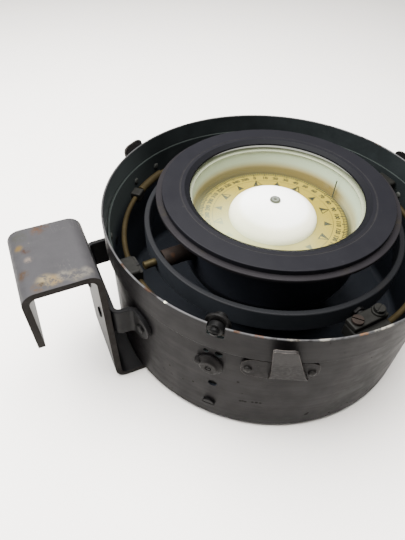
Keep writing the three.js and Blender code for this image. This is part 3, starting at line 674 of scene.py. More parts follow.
def bowl_black():
    f = Finish("bowl_black_paint", tone(48, 51, 60, SHADED), 0.42, 0.0, 0.14, 40)
    f.layer(f.spots(50, 0.35, 0.25), tone(48, 47, 51, SHADED), 0.5, amount=0.5)
    f.layer(f.scratches((120, 120, 500), 0.35, 0.01), tone(82, 79, 77), 0.45, amount=0.5)
    f.layer(f.spots(170, 0.10, 0.04), tone(68, 58, 48), 0.8, amount=0.6)
    return f.done(0.3, 700, 0.2)


def bezel_black():
    f = Finish("bezel_satin_black", tone(45, 45, 53), 0.42, 0.0, 0.06, 25)
    f.layer(f.noise(1, 3, 0.6, (260, 260, 20)), tone(52, 52, 60), amount=0.25)
    # Painted shade: the inner chamfer, inside r 58.3, is made darker than the rest of the bezel.
    f.layer(f.radial(0, 58.3, 0.3), tone(30, 31, 38), 0.6, amount=0.95)
    f.layer(f.radial(60.6, 61.3, 0.25), tone(88, 87, 88), 0.4, 0.1, amount=0.45)
    f.layer(f.scratches((90, 240, 50), 0.28, 0.006), tone(86, 86, 92), 0.4, amount=0.4)
    f.layer(f.spots(420, 0.06, 0.03), tone(108, 107, 106), 0.6, amount=0.5)
    f.layer(f.edges(0.5, 0.03, 0.25, 0.55), tone(104, 101, 102), 0.38, 0.1, amount=0.6)
    return f.done(0.2, 1200, 0.12)


def flange_black():
    f = Finish("flange_worn_black", tone(58, 55, 60), 0.42, 0.0, 0.1, 30)
    f.layer(f.spots(45, 0.45, 0.2), tone(76, 70, 56), 0.5, 0.1, amount=0.7)
    f.layer(f.edges(0.8, 0.02, 0.2, 0.45), tone(100, 93, 85), 0.42, 0.2, amount=0.8)
    return f.done(0.3, 900, 0.2)


def ring_grey():
    # Painted light: the ring's sides get a paler colour, worked out for the dim light in the pan, than its
    # top.
    f = Finish("ring_dark_paint", tone(50, 54, 60, SHADED), 0.42, 0.0, 0.14, 40)
    top = f.between("Z", AXIS_Z + 6.4, 100, 0.5)
    f.layer(top, tone(54, 56, 61), 0.46, 0.0, amount=1.0)
    f.layer(f.math("MULTIPLY", top, f.spots(40, 0.35, 0.15)), tone(70, 66, 63), 0.5, 0.0, amount=0.6)
    f.layer(f.spots(150, 0.08, 0.04), RUST_DARK, 0.85, 0.0, amount=0.6)
    f.layer(f.edges(0.6), tone(104, 103, 102), 0.38, 0.2, amount=0.5)
    return f.done(0.3, 800, 0.2)


def enamel():
    f = Finish("white_enamel", tone(207, 213, 203, BOWL), 0.32, 0.0, 0.025, 25)
    far = f.between("Y", 4, 200, 18)
    f.layer(f.between("Z", 40, 84, 8), tone(196, 186, 130, BOWL), 0.4, amount=0.7)
    f.layer(f.math("MULTIPLY", f.between("Z", 40, 84, 8), far), tone(194, 172, 58, BOWL), 0.4, amount=0.92)
    f.layer(f.math("MULTIPLY", f.between("Z", 82, 85.5, 2.5), far), tone(136, 118, 30, BOWL), 0.45,
            amount=0.62)
    f.layer(f.spots(30, 0.35, 0.3), tone(190, 197, 186, BOWL), 0.35, amount=0.5)
    f.layer(f.spots(180, 0.05, 0.04), tone(138, 138, 118, BOWL), 0.6, amount=0.5)
    return f.done(0.15, 400, 0.1)


def card_paper():
    f = Finish("card_aged_face", tone(205, 195, 66, CARD_LIGHT), 0.6, 0.0, 0.05, 40)
    f.layer(f.spots(55, 0.4, 0.25), tone(192, 178, 54, CARD_LIGHT), 0.6, amount=0.5)
    f.layer(f.radial(CARD_R - 0.7, CARD_R + 2, 0.8), tone(128, 114, 40, CARD_LIGHT), 0.6, amount=0.7)
    f.layer(f.spots(240, 0.10, 0.05), tone(146, 130, 84, CARD_LIGHT), 0.7, amount=0.5)
    return f.done(0.2, 1200, 0.1)


def float_white():
    f = Finish("float_white_paint", tone(237, 242, 243, BOWL), 0.4, 0.0, 0.02, 35)
    f.layer(f.radial(FLOAT_R - 4, 60, 5), tone(222, 219, 196, BOWL), 0.4, amount=0.5)
    f.layer(f.spots(120, 0.12, 0.1), tone(218, 223, 223, BOWL), 0.5, amount=0.6)
    return f.done(0.15, 700, 0.12)


def ink():
    f = Finish("card_ink", tone(34, 30, 20, CARD_LIGHT), 0.6, 0.0, 0.25, 300)
    f.layer(f.spots(260, 0.3, 0.1), tone(52, 46, 28, CARD_LIGHT), 0.6, amount=0.5)
    return f.done(0.1, 1200, 0.05)


def white_rubber():
    f = Finish("gasket_white", tone(200, 203, 190), 0.5, 0.0, 0.04, 120)
    f.layer(f.spots(200, 0.2, 0.1), tone(170, 171, 158), 0.6, amount=0.6)
    return f.done(0.3, 700, 0.2)


def glass_edge():
    """The white seal round the glass, made to glow: painted light standing in for light through the glass's
    edge.
    """
    f = Finish("glass_edge_white_glow", tone(196, 199, 186), 0.5, 0.0, 0.05, 120)
    f.layer(f.spots(160, 0.25, 0.1), tone(164, 165, 148), 0.6, amount=0.5)
    return f.done(0.2, 700, 0.1, Emission_Color=(1.0, 1.0, 0.9, 1), Emission_Strength=0.55)


def dark_steel():
    f = Finish("blued_steel", tone(56, 54, 53), 0.44, 0.3, 0.2, 300)
    f.layer(f.spots(300, 0.2, 0.1), RUST_DARK, 0.8, 0.0, amount=0.6)
    return f.done(0.3, 1200, 0.2)


def cap_steel():
    """The pivot cap: a bright ring round a dark jewel."""
    f = Finish("pivot_cap_steel", tone(66, 68, 70, BOWL), 0.45, 0.1, 0.1, 300)
    f.layer(f.radial(1.1, 2.3, 0.2), tone(160, 163, 163, BOWL), 0.4, amount=0.9)
    f.layer(f.spots(300, 0.2, 0.1), tone(96, 96, 92, BOWL), 0.6, amount=0.5)
    return f.done(0.2, 1200, 0.1)


def lead_grey():
    f = Finish("cast_lead", tone(88, 90, 94), 0.6, 0.3, 0.15, 80)
    f.layer(f.spots(120, 0.3, 0.2), tone(66, 68, 72), 0.7, amount=0.5)
    return f.done(0.6, 300, 0.4)


def clear_glass():
    """Thin clear glass with a cloudy white veil over the pane's near side, a painted reflection."""
    f = Finish("compass_glass", tone(226, 228, 216), 0.08, 0.0, 0.02, 30)
    facing = f.node("ShaderNodeLayerWeight")
    facing.inputs["Blend"].default_value = 0.5
    slant = f.math("POWER", facing.outputs["Facing"], 5.0)
    cloud = f.ramp(f.noise(16, 3, 0.5), 0.2, 0.8)
    # Painted reflection: the white veil over the pane's near side.
    near = f.ball((-40, -34, 101), 10, 58)
    painted_reflection = f.math("MULTIPLY", f.math("MULTIPLY", near, cloud), 0.36)
    film = f.math("ADD", f.math("MULTIPLY", slant, 0.25), painted_reflection)
    f.put(f.shader.inputs["Alpha"], f.math("MINIMUM", f.math("ADD", film, 0.015), 1.0))
    return f.done(0.02, 60, 0.02)


PAN_OUT = pan_outside()
PAN_IN = pan_inside()
RIM_WORN = rim_metal()
HOOK_FACE = hook_face()
HOOK_CUT = hook_cut()
SADDLE = saddle_paint()
PAN_LEDGE = pan_ledge()
STUD_PAINT = steel("stud_green_paint", tone(66, 68, 65, SHADED), 0.05, 0.5, (110, 112, 108))
# Painted shade: near-black, used only on the discs in the wall's holes.
HOLE_PAINTED_SHADE = steel("hole_painted_shade_black", tone(16, 16, 18, SIDE), 0.02, 0.6, (40, 40, 42))
STEEL = steel("tarnished_steel", tone(92, 90, 88, SIDE))
STEEL_LIGHT = catch_steel()
# A lighter copy of the catch steel, for faces turned away from the lamps: painted light.
STEEL_REAR_PAINTED_LIGHT = catch_steel("catch_worn_steel_rear_painted_light", 3.6)
STEEL_RUSTY = steel("rusty_steel", tone(72, 60, 54), 0.3, 0.6, (104, 96, 88))
STEEL_DARK = steel("black_steel", tone(46, 46, 47, SIDE), 0.06, 0.42, (92, 91, 90))
BOSS_PAINT = steel("boss_cast_paint", tone(70, 67, 67, SIDE), 0.04, 0.5, (104, 102, 100))
WORN_DARK = steel("worn_dark_steel", tone(44, 43, 43), 0.08, 0.42, (150, 148, 142))
FITTING = steel("painted_fitting", tone(52, 52, 49), 0.08, 0.5, (104, 102, 96))
ROD = rod_brass()
BRASS = brass()
BOWL_BLACK = bowl_black()
BEZEL_BLACK = bezel_black()
FLANGE_BLACK = flange_black()
RING_GREY = ring_grey()
ENAMEL = enamel()
CARD = card_paper()
FLOAT = float_white()
INK = ink()
GASKET = white_rubber()
WIRE = dark_steel()
CAP_STEEL = cap_steel()
LEAD = lead_grey()
GLASS = clear_glass()
GLASS_EDGE_GLOW = glass_edge()


# ---------- pan and rim ----------
WALL_STUDS = ((113.1, 75.6), (126.2, 75.6), (161.5, 77.7), (-6.9, 74.2), (6.9, 74.2))
OPEN_HOLES = ((-142.3, 71, 1.6), (-138.4, 71.4, 2.4), (-139.5, 40.5, 2.8))


def wall_drill(azimuth, z, radius, inner=100, outer=116):
    """A drill that goes through the pan wall."""
    tool = along_x(revolve([(0, inner), (radius, inner), (radius, outer), (0, outer)], 24), 0, z)
    tool.transform(turn(azimuth))
    return tool


def inside_or_out(centre, normal):
    """0 on the outside of the pan, 1 on the inside."""
    outward = normal.x * centre.x + normal.y * centre.y
    if abs(normal.z) > 0.8:
        return 0 if centre.z < 0.5 else 2 if centre.z > LIP_Z else 1
    return 1 if outward < 0 else 0


def make_pan():
    inner = PAN_R - PAN_WALL
    shell = lathe([
        (0, 0), (PAN_R, 0, 5), (PAN_R, PAN_TOP, 0.4), (inner, PAN_TOP, 0.4), (inner, PAN_WALL, 4.5),
        (0, PAN_WALL),
    ], FINE_TURN)
    drills = [wall_drill(*hole) for hole in OPEN_HOLES]
    piece("pan_shell", carved(shell, *drills), [PAN_OUT, PAN_IN, PAN_LEDGE], "pan", ["pan_body"],
          pick=inside_or_out)


def make_hole_plugs():
    """Near-black discs behind the open holes in the wall: painted shade for the dark inside of the pan."""
    back = PAN_R - PAN_WALL
    for i, (azimuth, z, radius) in enumerate(OPEN_HOLES):
        shade_disc = along_x(lathe([
            (0, back - 0.9), (radius + 0.8, back - 0.9, 0.3), (radius + 0.8, back), (0, back)], 32), 0, z)
        piece(f"hole_shade_disc_{i}", shade_disc, HOLE_PAINTED_SHADE, "pan", (), turn(azimuth))


def rim_faces(centre, normal):
    """0 outside, 1 inside, 2 on the worn top edge."""
    if centre.z > RIM_Z - 0.7:
        return 2
    return min(1, inside_or_out(centre, normal))


def make_coaming():
    band = lathe([
        (RIM_R - 2, LIP_Z, 0.3), (RIM_R, LIP_Z, 0.9), (RIM_R, RIM_Z, 0.55), (RIM_R - 1.3, RIM_Z, 0.55),
        (RIM_R - 1.3, RIM_Z - 3), (RIM_R - 1.95, PAN_TOP + 0.3), (RIM_R - 2, PAN_TOP - 0.4),
    ], FINE_TURN)
    notch = block((100, -4.7, RIM_Z - 8.5), (116, 4.7, RIM_Z + 8), 1.2)
    notch.transform(turn(STUD_AZ))
    piece("rim_band", carved(band, notch), [PAN_OUT, PAN_IN, RIM_WORN], "pan", ["coaming"],
          pick=rim_faces)


def rivet(head, inner, head_r, tail_r):
    """A domed head outside and a flat tail inside, along +X."""
    return along_x(lathe([
        (0, inner - 0.3), (tail_r, inner - 0.3, 0.1), (tail_r, inner), (head_r * 0.5, inner),
        (head_r * 0.5, head), (head_r, head, 0.15), (head_r * 0.86, head + 1.0, 0.5), (0, head + 1.7, 0),
    ], 40))


def make_wall_studs():
    """Flattened rivet heads on the inside of the wall."""
    inner = PAN_R - PAN_WALL
    for i, (azimuth, z) in enumerate(WALL_STUDS):
        head = along_x(lathe([
            (0, inner - 0.9), (1.6, inner - 0.8, 0.5), (2.3, inner - 0.2, 0.2), (2.3, inner + 0.2),
            (0, inner + 0.2),
        ], 32), 0, z)
        piece(f"wall_stud_{i}", head, STUD_PAINT, "pan", (), turn(azimuth))


# ---------- catches ----------
def catch_plate():
    """A flat plate rolled to the pan's wall."""
    low, high = 61.5, 77.0
    reach = radians(10.8) * PAN_R
    outline = fillet([
        (-reach, low + 3, 5), (-reach + 3, low, 3), (reach - 3, low, 3), (reach, low + 3, 5),
        (reach, high - 3, 6), (reach - 5, high, 3), (-reach + 5, high, 3), (-reach, high - 3, 6),
    ], steps=6)
    plate = slab(outline, CATCH_PLATE_T, [x * 1.25 for x in range(-15, 16)])
    inner = PAN_R + 0.3
    for v in plate.verts:
        along, height, depth = v.co
        a = along / inner
        v.co = ((inner + depth) * cos(a), (inner + depth) * sin(a), height)
    bmesh.ops.recalc_face_normals(plate, faces=plate.faces)
    return plate


def catch_tongue(foot, tip, corner):
    """A tongue folded out of the plate's lower edge and standing up past the rim."""
    fine = finely(bent_strip(TONGUE_LINE, TONGUE_BEND, 5))
    bm = bmesh.new()
    rows = []
    for p, d in fine:
        n = Vector((-d.y, d.x))
        rise = min(1, max(0, (p.y - 65) / (TONGUE_TIP_Z - 65)))
        half = (foot[0] + (tip[0] - foot[0]) * rise) / 2
        half += 1.3 * max(0, 1 - rise * 5) ** 2
        shift = foot[1] + (tip[1] - foot[1]) * rise
        drop = corner - (TONGUE_TIP_Z - p.y)
        if drop > 0 and p.x > 112:
            half -= corner - sqrt(max(0.0, corner * corner - drop * drop))
        row = []
        for side in (1, -1):
            cells = range(-5, 6) if side == 1 else range(5, -6, -1)
            for c in cells:
                bow = 0.3 * (1 - (c / 5) ** 2) * rise
                base = p + n * side * (TONGUE_T / 2)
                row.append(bm.verts.new((base.x + bow, shift + half * c / 5, base.y)))
        rows.append(row)
    return skinned(bm, rows)


def make_catches():
    for node, azimuth, foot, tip, corner in CATCHES:
        # The catches at azimuths 120 and 239 get the lighter copy of the steel: painted light.
        metal = STEEL_LIGHT if azimuth == 0 else STEEL_REAR_PAINTED_LIGHT
        piece(f"{node}_plate", catch_plate(), metal, "pan", [node], turn(azimuth), 0.35)
        tongue = catch_tongue(foot, tip, corner)
        piece(f"{node}_tongue", tongue, metal, "pan", (), turn(azimuth), 0.35)
        for side, tag in ((-1, "a"), (1, "b")):
            head = rivet(PAN_R + 1.7, PAN_R - PAN_WALL, 2.4, 2.2)
            head.transform(Matrix.Translation((0, 0, CATCH_RIVET_Z)))
            piece(f"{node}_rivet_{tag}_head", head, STEEL, "pan", [f"{node}_rivet_{tag}"],
                  turn(azimuth + side * CATCH_RIVET))


# ---------- hook and saddle ----------
def hook_faces(centre, normal):
    """0 on the broad faces, 1 on the cut edges, 2 on the foot and on the side that looks at the pan, which
    get the saddle's darker paint as painted shade.
    """
    place, way = turn(-HOOK_AZ) @ centre, turn(-HOOK_AZ) @ normal
    if abs(way.y) > 0.8:
        return 1
    if place.z < 12 or (way.x < -0.5 and place.x < HOOK_LEG_X + 1):
        return 2
    return 0


def make_hook():
    top, outer, leg = HOOK_TOP - HOOK_T / 2, HOOK_OUT - HOOK_T / 2, HOOK_LEG_X + HOOK_T / 2
    foot = HOOK_T / 2
    path = [(outer, HOOK_LIP_Z), (outer, top), (leg, top), (leg, foot), (HOOK_FOOT_X, foot)]
    outline = strip_outline(path, HOOK_T, HOOK_BEND)
    plate = slab(outline, HOOK_WIDTH)
    plate.transform(Matrix.Translation((0, HOOK_WIDTH / 2, 0)) @ Matrix.Rotation(pi / 2, 4, "X"))
    wall = lathe([(0, 0.02), (PAN_R + 0.1, 0.02, 5), (PAN_R + 0.1, 60), (0, 60)], FINE_TURN)
    piece("hook_plate", carved(plate, wall), [HOOK_FACE, HOOK_CUT, SADDLE], "pan", ["hook_bracket"],
          turn(HOOK_AZ), 0.55, pick=hook_faces, sharp=45)
    for side, tag, wing in ((-1, "a", SADDLE_FAR), (1, "b", SADDLE_NEAR)):
        head = rivet(leg + HOOK_T / 2 + 0.2, HOOK_LEG_X - SADDLE_T - 0.3, 3.6, 3.4)
        head.transform(Matrix.Translation((0, side * HOOK_RIVET_Y, SADDLE_MID_Z)))
        piece(f"hook_rivet_{tag}_head", head, STEEL_DARK, "pan", [f"hook_rivet_{tag}"],
              turn(HOOK_AZ))
        head = rivet(PAN_R + SADDLE_T + 0.5, PAN_R - PAN_WALL, 3.3, 3.1)
        head.transform(Matrix.Translation((0, 0, SADDLE_MID_Z)))
        piece(f"saddle_rivet_{tag}_head", head, STEEL_DARK, "pan", [f"saddle_rivet_{tag}"],
              turn(HOOK_AZ + side * wing["rivet"]))


def saddle_half(wing):
    """The wing on the pan wall, then the corner on the hook's leg, for the side of increasing azimuth."""
    r = PAN_R + 0.3 + SADDLE_T / 2
    middle = (wing["end"] + wing["root"]) / 2
    points = [(r * cos(radians(a)), r * sin(radians(a))) for a in (wing["end"], middle, wing["root"])]
    return points + [(HOOK_LEG_X - 0.3 - SADDLE_T / 2, points[-1][1] - 0.6)]


def make_saddle():
    far = [(x, -y) for x, y in reversed(saddle_half(SADDLE_FAR))]
    fine = finely(bent_strip(saddle_half(SADDLE_NEAR) + far, SADDLE_BEND))
    total = sum((b[0] - a[0]).length for a, b in zip(fine, fine[1:]))
    bm = bmesh.new()
    rows, gone, r = [], 0.0, SADDLE_HALF
    for i, (p, d) in enumerate(fine):
        gone += (p - fine[i - 1][0]).length if i else 0
        end = min(gone, total - gone)
        half = r if end >= r else sqrt(max(0.9, r * r - (r - end) ** 2))
        n = Vector((-d.y, d.x)) * SADDLE_T / 2
        low, high = SADDLE_MID_Z - half, SADDLE_MID_Z + half
        corners = ((p + n, low), (p + n, high), (p - n, high), (p - n, low))
        rows.append([bm.verts.new((c.x, c.y, z)) for c, z in corners])
    piece("saddle_strap", skinned(bm, rows), SADDLE, "pan", ["hook_saddle"], turn(HOOK_AZ), 0.5,
          sharp=55)


# ---------- fittings on the wall ----------
def slotted_head(face, radius, height, width=0.9, depth=0.9, tail=None, tail_r=1.5):
    """A slotted screw head on its shank, along +Z."""
    shape = lathe([
        (0, tail), (tail_r, tail), (tail_r, face), (radius, face, 0.15), (radius, face + height, 0.5),
        (0, face + height),
    ], 40)
    top = face + height
    groove = block((-width / 2, -radius - 1, top - depth), (width / 2, radius + 1, top + 1), 0)
    return carved(shape, groove)


def make_fittings():
    stud = along_x(lathe([
        (0, 101.4), (3.6, 101.4, 0.6), (3.6, 105.2, 0.4), (2.6, 105.2), (2.6, 107.6), (4.1, 107.6, 0.5),
        (4.1, 111.2, 0.6), (2.6, 111.2, 0.2), (2.6, 112.9, 0.9), (0, 113.6),
    ], 48), 0, STUD_Z)
    groove = block((112.7, -4, STUD_Z - 0.5), (115, 4, STUD_Z + 0.5), 0)
    piece("stud_turned", carved(stud, groove), STEEL_DARK, "pan", ["rim_stud"], turn(STUD_AZ))
    washer = along_x(lathe([
        (2.9, 105.5, 0.2), (6.8, 105.5, 0.5), (6.8, 107.2, 0.5), (2.9, 107.2, 0.2)], 64), 0, STUD_Z)
    piece("stud_disc", washer, WORN_DARK, "pan", ["stud_washer"], turn(STUD_AZ))
    dome = along_x(lathe([
        (0, 108.1), (BOSS_R, 108.1), (BOSS_R, 109.4, 0.8), (5.6, 110.6, 1.5), (4.6, 111.6, 1.0),
        (1.9, 111.6, 0.3), (1.7, 110.9), (0, 110.9),
    ], 56))
    for v in dome.verts:
        v.co.z *= 1 + BOSS_STRETCH / BOSS_R
    nub = along_x(lathe([(0, 108.1), (2.4, 108.1), (2.1, 111.2, 0.9), (0, 111.4)], 28), -6.6, 1.6)
    at = turn(BOSS_AZ) @ Matrix.Translation((0, 0, BOSS_Z))
    piece("boss_cast", merged(dome, nub), BOSS_PAINT, "pan", ["fitting_boss"], at, 0.4)
    for name, azimuth, z, face, radius, height in (
        ("fitting_screw", BOSS_AZ, BOSS_Z, 110.9, 1.6, 0.5), ("lower_screw", -140.1, 18.5, 108.0, 4.0, 1.4),
    ):
        screw = along_x(slotted_head(face, radius, height, tail=104, depth=min(0.9, height)), 0, z)
        piece(f"{name}_head", screw, STEEL_DARK, "pan", [name], turn(azimuth))


# ---------- spring hoop ----------
def hoop_arc(radius, start, arc, segments):
    """A length of round rod on the hoop's circle."""
    angles = [2 * pi * k / 20 for k in range(20)]
    ring = [(HOOP_R + radius * cos(a), HOOP_Z + radius * sin(a)) for a in angles]
    return revolve(ring, segments, start, arc)


def flex(obj):
    """Bakes the piece's placement into its mesh; the piece rides on no body."""
    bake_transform(obj)


def make_hoop():
    for side, tag in ((1, "port"), (-1, "starboard")):
        start = 0 if side == 1 else 180
        rod = piece(f"hoop_{tag}_half", hoop_arc(HOOP_ROD, start, 180, 72), ROD, None, ["spring_hoop"])
        flex(rod)
    a, b = JOINT_TUBE
    tube = piece("hoop_sleeve", hoop_arc(JOINT_TUBE_R, a, b - a, 12), ROD, None, ["hoop_joint_tube"],
                 bevel=0.5)
    flex(tube)
    ferrule = block((HOOP_R - 3.7, -4, HOOP_Z - 3.7), (HOOP_R + 3.7, 4, HOOP_Z + 3.7), 1.0)
    split = block((HOOP_R - 8, -5, HOOP_Z - 0.3), (HOOP_R - 2, 5, HOOP_Z + 0.3), 0)
    grip = piece("hoop_grip", carved(ferrule, split), FITTING, None, ["hoop_ferrule"],
                 turn(FERRULE_AZ))
    flex(grip)
    for azimuth, tag in FORE_AFT:
        body = block((95.2, -7.5, 69), (105.6, 7.5, 82.5), 1.6, 4)
        split = block((94, -9, HOOP_Z - 0.4), (HOOP_R - 1, 9, HOOP_Z + 0.4), 0)
        ledge = block((90, -9, 80.6), (97.5, 9, 90), 1.0)
        piece(f"clamp_{tag}_cast", carved(body, split, ledge), FITTING, "pan", [f"wall_clamp_{tag}"],
              turn(azimuth))
        plug = along_x(lathe([(0, 95.1), (1.7, 95.1, 0.3), (1.7, 107.5), (0, 107.5)], 32), 0, CLAMP_SCREW_Z)
        piece(f"clamp_{tag}_screw", plug, STEEL_DARK, "pan", [f"wall_clamp_screw_{tag}"],
              turn(azimuth))


# ---------- bearings ----------
def make_bearings():
    for azimuth, tag in PORT_STARBOARD:
        bore = along_x(revolve([(0, 86), (2.58, 86), (2.58, 95.2), (0, 95.2)], 32), 0, AXIS_Z)
        base = carved(block((88, -12, 68.8), (101.3, 12, AXIS_Z - 0.15), 1.2), bore.copy())
        piece(f"bearing_{tag}_base", base, FITTING, "suspension", [f"bearing_block_{tag}"],
              turn(azimuth))
        lid = block((88, -12, AXIS_Z + 0.15), (96.4, 12, 81.2), 0.8)
        boss = lathe([(0, 80), (4.3, 80), (4.0, 82.6, 0.5), (0, 82.6)], 36)
        boss.transform(Matrix.Translation((CAP_SCREW_X, CAP_SCREW_Y, 0)))
        piece(f"bearing_{tag}_cap", merged(carved(lid, bore), boss), FITTING, "suspension",
              [f"bearing_cap_{tag}"], turn(azimuth))
        for screw, y, face, radius, height, look in (
            ("a", CAP_SCREW_Y, 82.9, 3.2, 1.9, FITTING), ("b", -CAP_SCREW_Y, 81.5, 3.4, 1.6, STEEL_RUSTY),
        ):
            head = slotted_head(face, radius, height, tail=71.5)
            head.transform(Matrix.Translation((CAP_SCREW_X, y, 0)) @ turn(25 if screw == "a" else -50))
            piece(f"bearing_{tag}_screw_{screw}", head, look, "suspension", [f"cap_screw_{tag}_{screw}"],
                  turn(azimuth))


# ---------- gimbal ring ----------
def make_ring():
    low, high = span("gimbal_ring")[0].z, span("gimbal_ring")[1].z
    band = lathe([
        (RING_IN, low, 0.7), (RING_OUT, low, 0.7), (RING_OUT, high, 0.9), (RING_IN, high, 0.9)], FINE_TURN)
    piece("ring_turned", band, RING_GREY, "gimbal_ring", ["gimbal_ring"])
    for azimuth, tag in PORT_STARBOARD:
        pin = along_x(lathe([
            (0, 81.1), (2.5, 81.1), (2.5, 94.8, 0.6), (0, 94.8)], 40), 0, AXIS_Z)
        nut = along_x(revolve([(2.4, 84.8), (4.0, 84.8), (4.0, 86.6), (2.4, 86.6)], 6), 0, AXIS_Z)
        piece(f"pin_{tag}_turned", merged(pin, nut), STEEL_DARK, "gimbal_ring", [f"ring_pin_{tag}"],
              turn(azimuth), 0.2)
    for azimuth, tag in FORE_AFT:
        pin = lathe([(0, 72.9), (1.9, 72.9), (2.5, 73.6), (2.5, 92.4, 0.5), (0, 92.4)], 40)
        groove = block((-0.5, -4, 91), (0.5, 4, 94), 0)
        slotted = along_x(carved(pin, groove), 0, AXIS_Z)
        piece(f"pivot_{tag}_screw", slotted, BRASS, "gimbal_ring", [f"bowl_screw_{tag}"],
              turn(azimuth))


# ---------- bowl ----------
def cup_faces(centre, normal):
    """0 outside, 1 on the enamelled inside."""
    radius = hypot(centre.x, centre.y)
    return 1 if radius < 54.7 and centre.z > 43 and (normal.z > 0.3 or normal.xy.dot(centre.xy) < 0) else 0


def make_bowl():
    cup = lathe([
        (34, 42.5), (47, 42.5, 4), (56.5, 50, 6), (60, 60, 6), (60, 98.2), (54.6, 98.2, 0.4), (52.4, 82, 2),
        (52.2, 60, 5), (44, 46.5, 5), (34, 46.5),
    ], TURN)
    piece("bowl_cup", cup, [BOWL_BLACK, ENAMEL], "bowl", ["bowl"], pick=cup_faces)
    for azimuth, tag in FORE_AFT:
        boss = along_x(lathe([
            (2.58, 59), (6.8, 59), (6.2, 62, 1.5), (5.5, 66, 2), (5.5, 79.8, 0.6), (2.58, 79.8, 0.2)], 40),
            0, AXIS_Z)
        piece(f"trunnion_{tag}", boss, STEEL_RUSTY, "bowl", (), turn(azimuth))
    flange = lathe([
        (60.3, 92), (66, 98.4, 3), (FLANGE_R, 100.4, 0.5), (FLANGE_R, 102.5, 0.6), (59.3, 102.5),
        (59.3, 98.5), (60.3, 98.5),
    ], FINE_TURN)
    piece("bowl_lip", flange, FLANGE_BLACK, "bowl", ["bowl_flange"])
    low = span("bezel")[0].z
    ring = lathe([
        (54.8, low), (BEZEL_R, low), (BEZEL_R, BEZEL_TOP, 0.45), (61.2, BEZEL_TOP), (61.1, BEZEL_TOP - 0.2),
        (60.7, BEZEL_TOP - 0.2), (60.6, BEZEL_TOP), (58.2, BEZEL_TOP, 0.4), (55, low + 1.1, 0.5),
        (54.8, low + 0.4),
    ], FINE_TURN)
    piece("bezel_ring", ring, BEZEL_BLACK, "bowl", ["bezel"], sharp=25)
    pane = lathe([(0, 99.5), (58.9, 99.5, 0.3), (58.9, 102.3, 0.3), (0, 102.3)], TURN)
    piece("glass_pane", pane, GLASS, "bowl", ["glass"])
    seal = lathe([(53.4, 98.5, 0.3), (58.8, 98.5, 0.2), (58.8, 99.2, 0.2), (53.4, 99.2, 0.3)], TURN)
    # A thin white sleeve at the glass's edge that glows: painted light where the bezel shades the edge.
    collar = revolve([(58.92, 98.6), (59.22, 98.6), (59.22, 102.5), (58.92, 102.5)], TURN)
    piece("glass_edge_glowing_seal", collar, GLASS_EDGE_GLOW, "bowl", ())
    piece("gasket_ring", seal, GASKET, "bowl", ["gasket"])
    wire = lathe([(0, 79), (0.45, 79, 0.2), (0.45, 95, 0.3), (0, 95)], 16)
    wire.transform(Matrix.Translation((LUBBER_X, 0, 0)))
    piece("lubber_pin", wire, WIRE, "bowl", ["lubber_wire"])
    plug = along_x(lathe([(0, 54), (2.4, 54), (2.4, 60.5), (4.4, 60.5), (4.4, 64, 0.6), (0, 64)], 40), 0,
                   PLUG_Z)
    piece("filler_plug_turned", plug, BRASS, "bowl", ["filler_plug"], turn(PLUG_AZ))
    post = lathe([
        (0, 45.5), (2.5, 45.5), (2.5, 50.1), (5, 50.1), (5, 52, 0.5), (2, 53), (2, 84), (1.2, 87.4, 0.5),
        (0.25, 90.6), (0, 90.6)], 32)
    piece("post_turned", post, WIRE, "bowl", ["pivot_post"])


# ---------- card ----------
def glyph(text, size):
    """Flat lettering, centred on the origin."""
    curve = bpy.data.curves.new("glyph", "FONT")
    curve.body, curve.size = text, size
    curve.align_x, curve.align_y = "CENTER", "CENTER"
    curve.resolution_u = 3
    curve.offset = 0.2
    obj = bpy.data.objects.new("glyph", curve)
    bpy.context.scene.collection.objects.link(obj)
    bpy.context.view_layer.update()
    bm = bmesh.new()
    mesh = bpy.data.meshes.new_from_object(obj.evaluated_get(bpy.context.evaluated_depsgraph_get()))
    bm.from_mesh(mesh)
    bpy.data.objects.remove(obj)
    bpy.data.meshes.remove(mesh)
    return bm


def patch(points):
    """A flat printed shape."""
    bm = bmesh.new()
    bm.faces.new([bm.verts.new((x, y, 0)) for x, y in points])
    return bm


def ring_line(radius, width):
    """A thin printed circle."""
    bm = bmesh.new()
    steps = 180
    rows = []
    for k in range(steps):
        a = 2 * pi * k / steps
        edges = (radius - width / 2, radius + width / 2)
        rows.append([bm.verts.new((r * cos(a), r * sin(a), 0)) for r in edges])
    for k in range(steps):
        near, far = rows[k], rows[(k + 1) % steps]
        bm.faces.new((near[0], near[1], far[1], far[0]))
    return bm


def printing():
    """Degree scale, numerals every ten degrees and sixteen points."""
    base = FLOAT_R + 5.0
    marks = [ring_line(CARD_R - 0.35, 0.34), ring_line(CARD_R - 2.9, 0.3), ring_line(base + 5.9, 0.26)]
    for degree in range(0, 360, 2):
        length = 3.6 if degree % 10 == 0 else 2.6
        half = 0.5 if degree % 10 == 0 else 0.44
        outer = CARD_R - 0.35
        tick = patch([(outer - length, -half), (outer, -half), (outer, half), (outer - length, half)])
        tick.transform(turn(NORTH - degree))
        marks.append(tick)
    for degree in range(0, 360, 10):
        label = glyph(str(degree), 4.0)
        label.transform(turn(NORTH - degree - 90) @ Matrix.Translation((0, CARD_R - 6.4, 0)))
        marks.append(label)
    for point in range(16):
        at = turn(NORTH - 22.5 * point)
        if point % 2:
            shapes = [patch([(base, -2.3), (base + 5.4, 0), (base, 2.3)])]
        else:
            shapes = [patch([(base, 0), (base + 6.4, 0), (base, 3.6)])]
            shapes.append(patch([(base, -3.6), (base + 6.4, 0), (base + 5.0, 0), (base + 0.7, -2.5)]))
            shapes.append(patch([(base, -3.6), (base + 0.7, -2.5), (base + 0.7, 0), (base, 0)]))
        for shape in shapes:
            shape.transform(at)
            marks.append(shape)
    bm = merged(*marks)
    bmesh.ops.recalc_face_normals(bm, faces=bm.faces)
    bm.transform(Matrix.Translation((0, 0, CARD_TOP + 0.03)))
    return bm


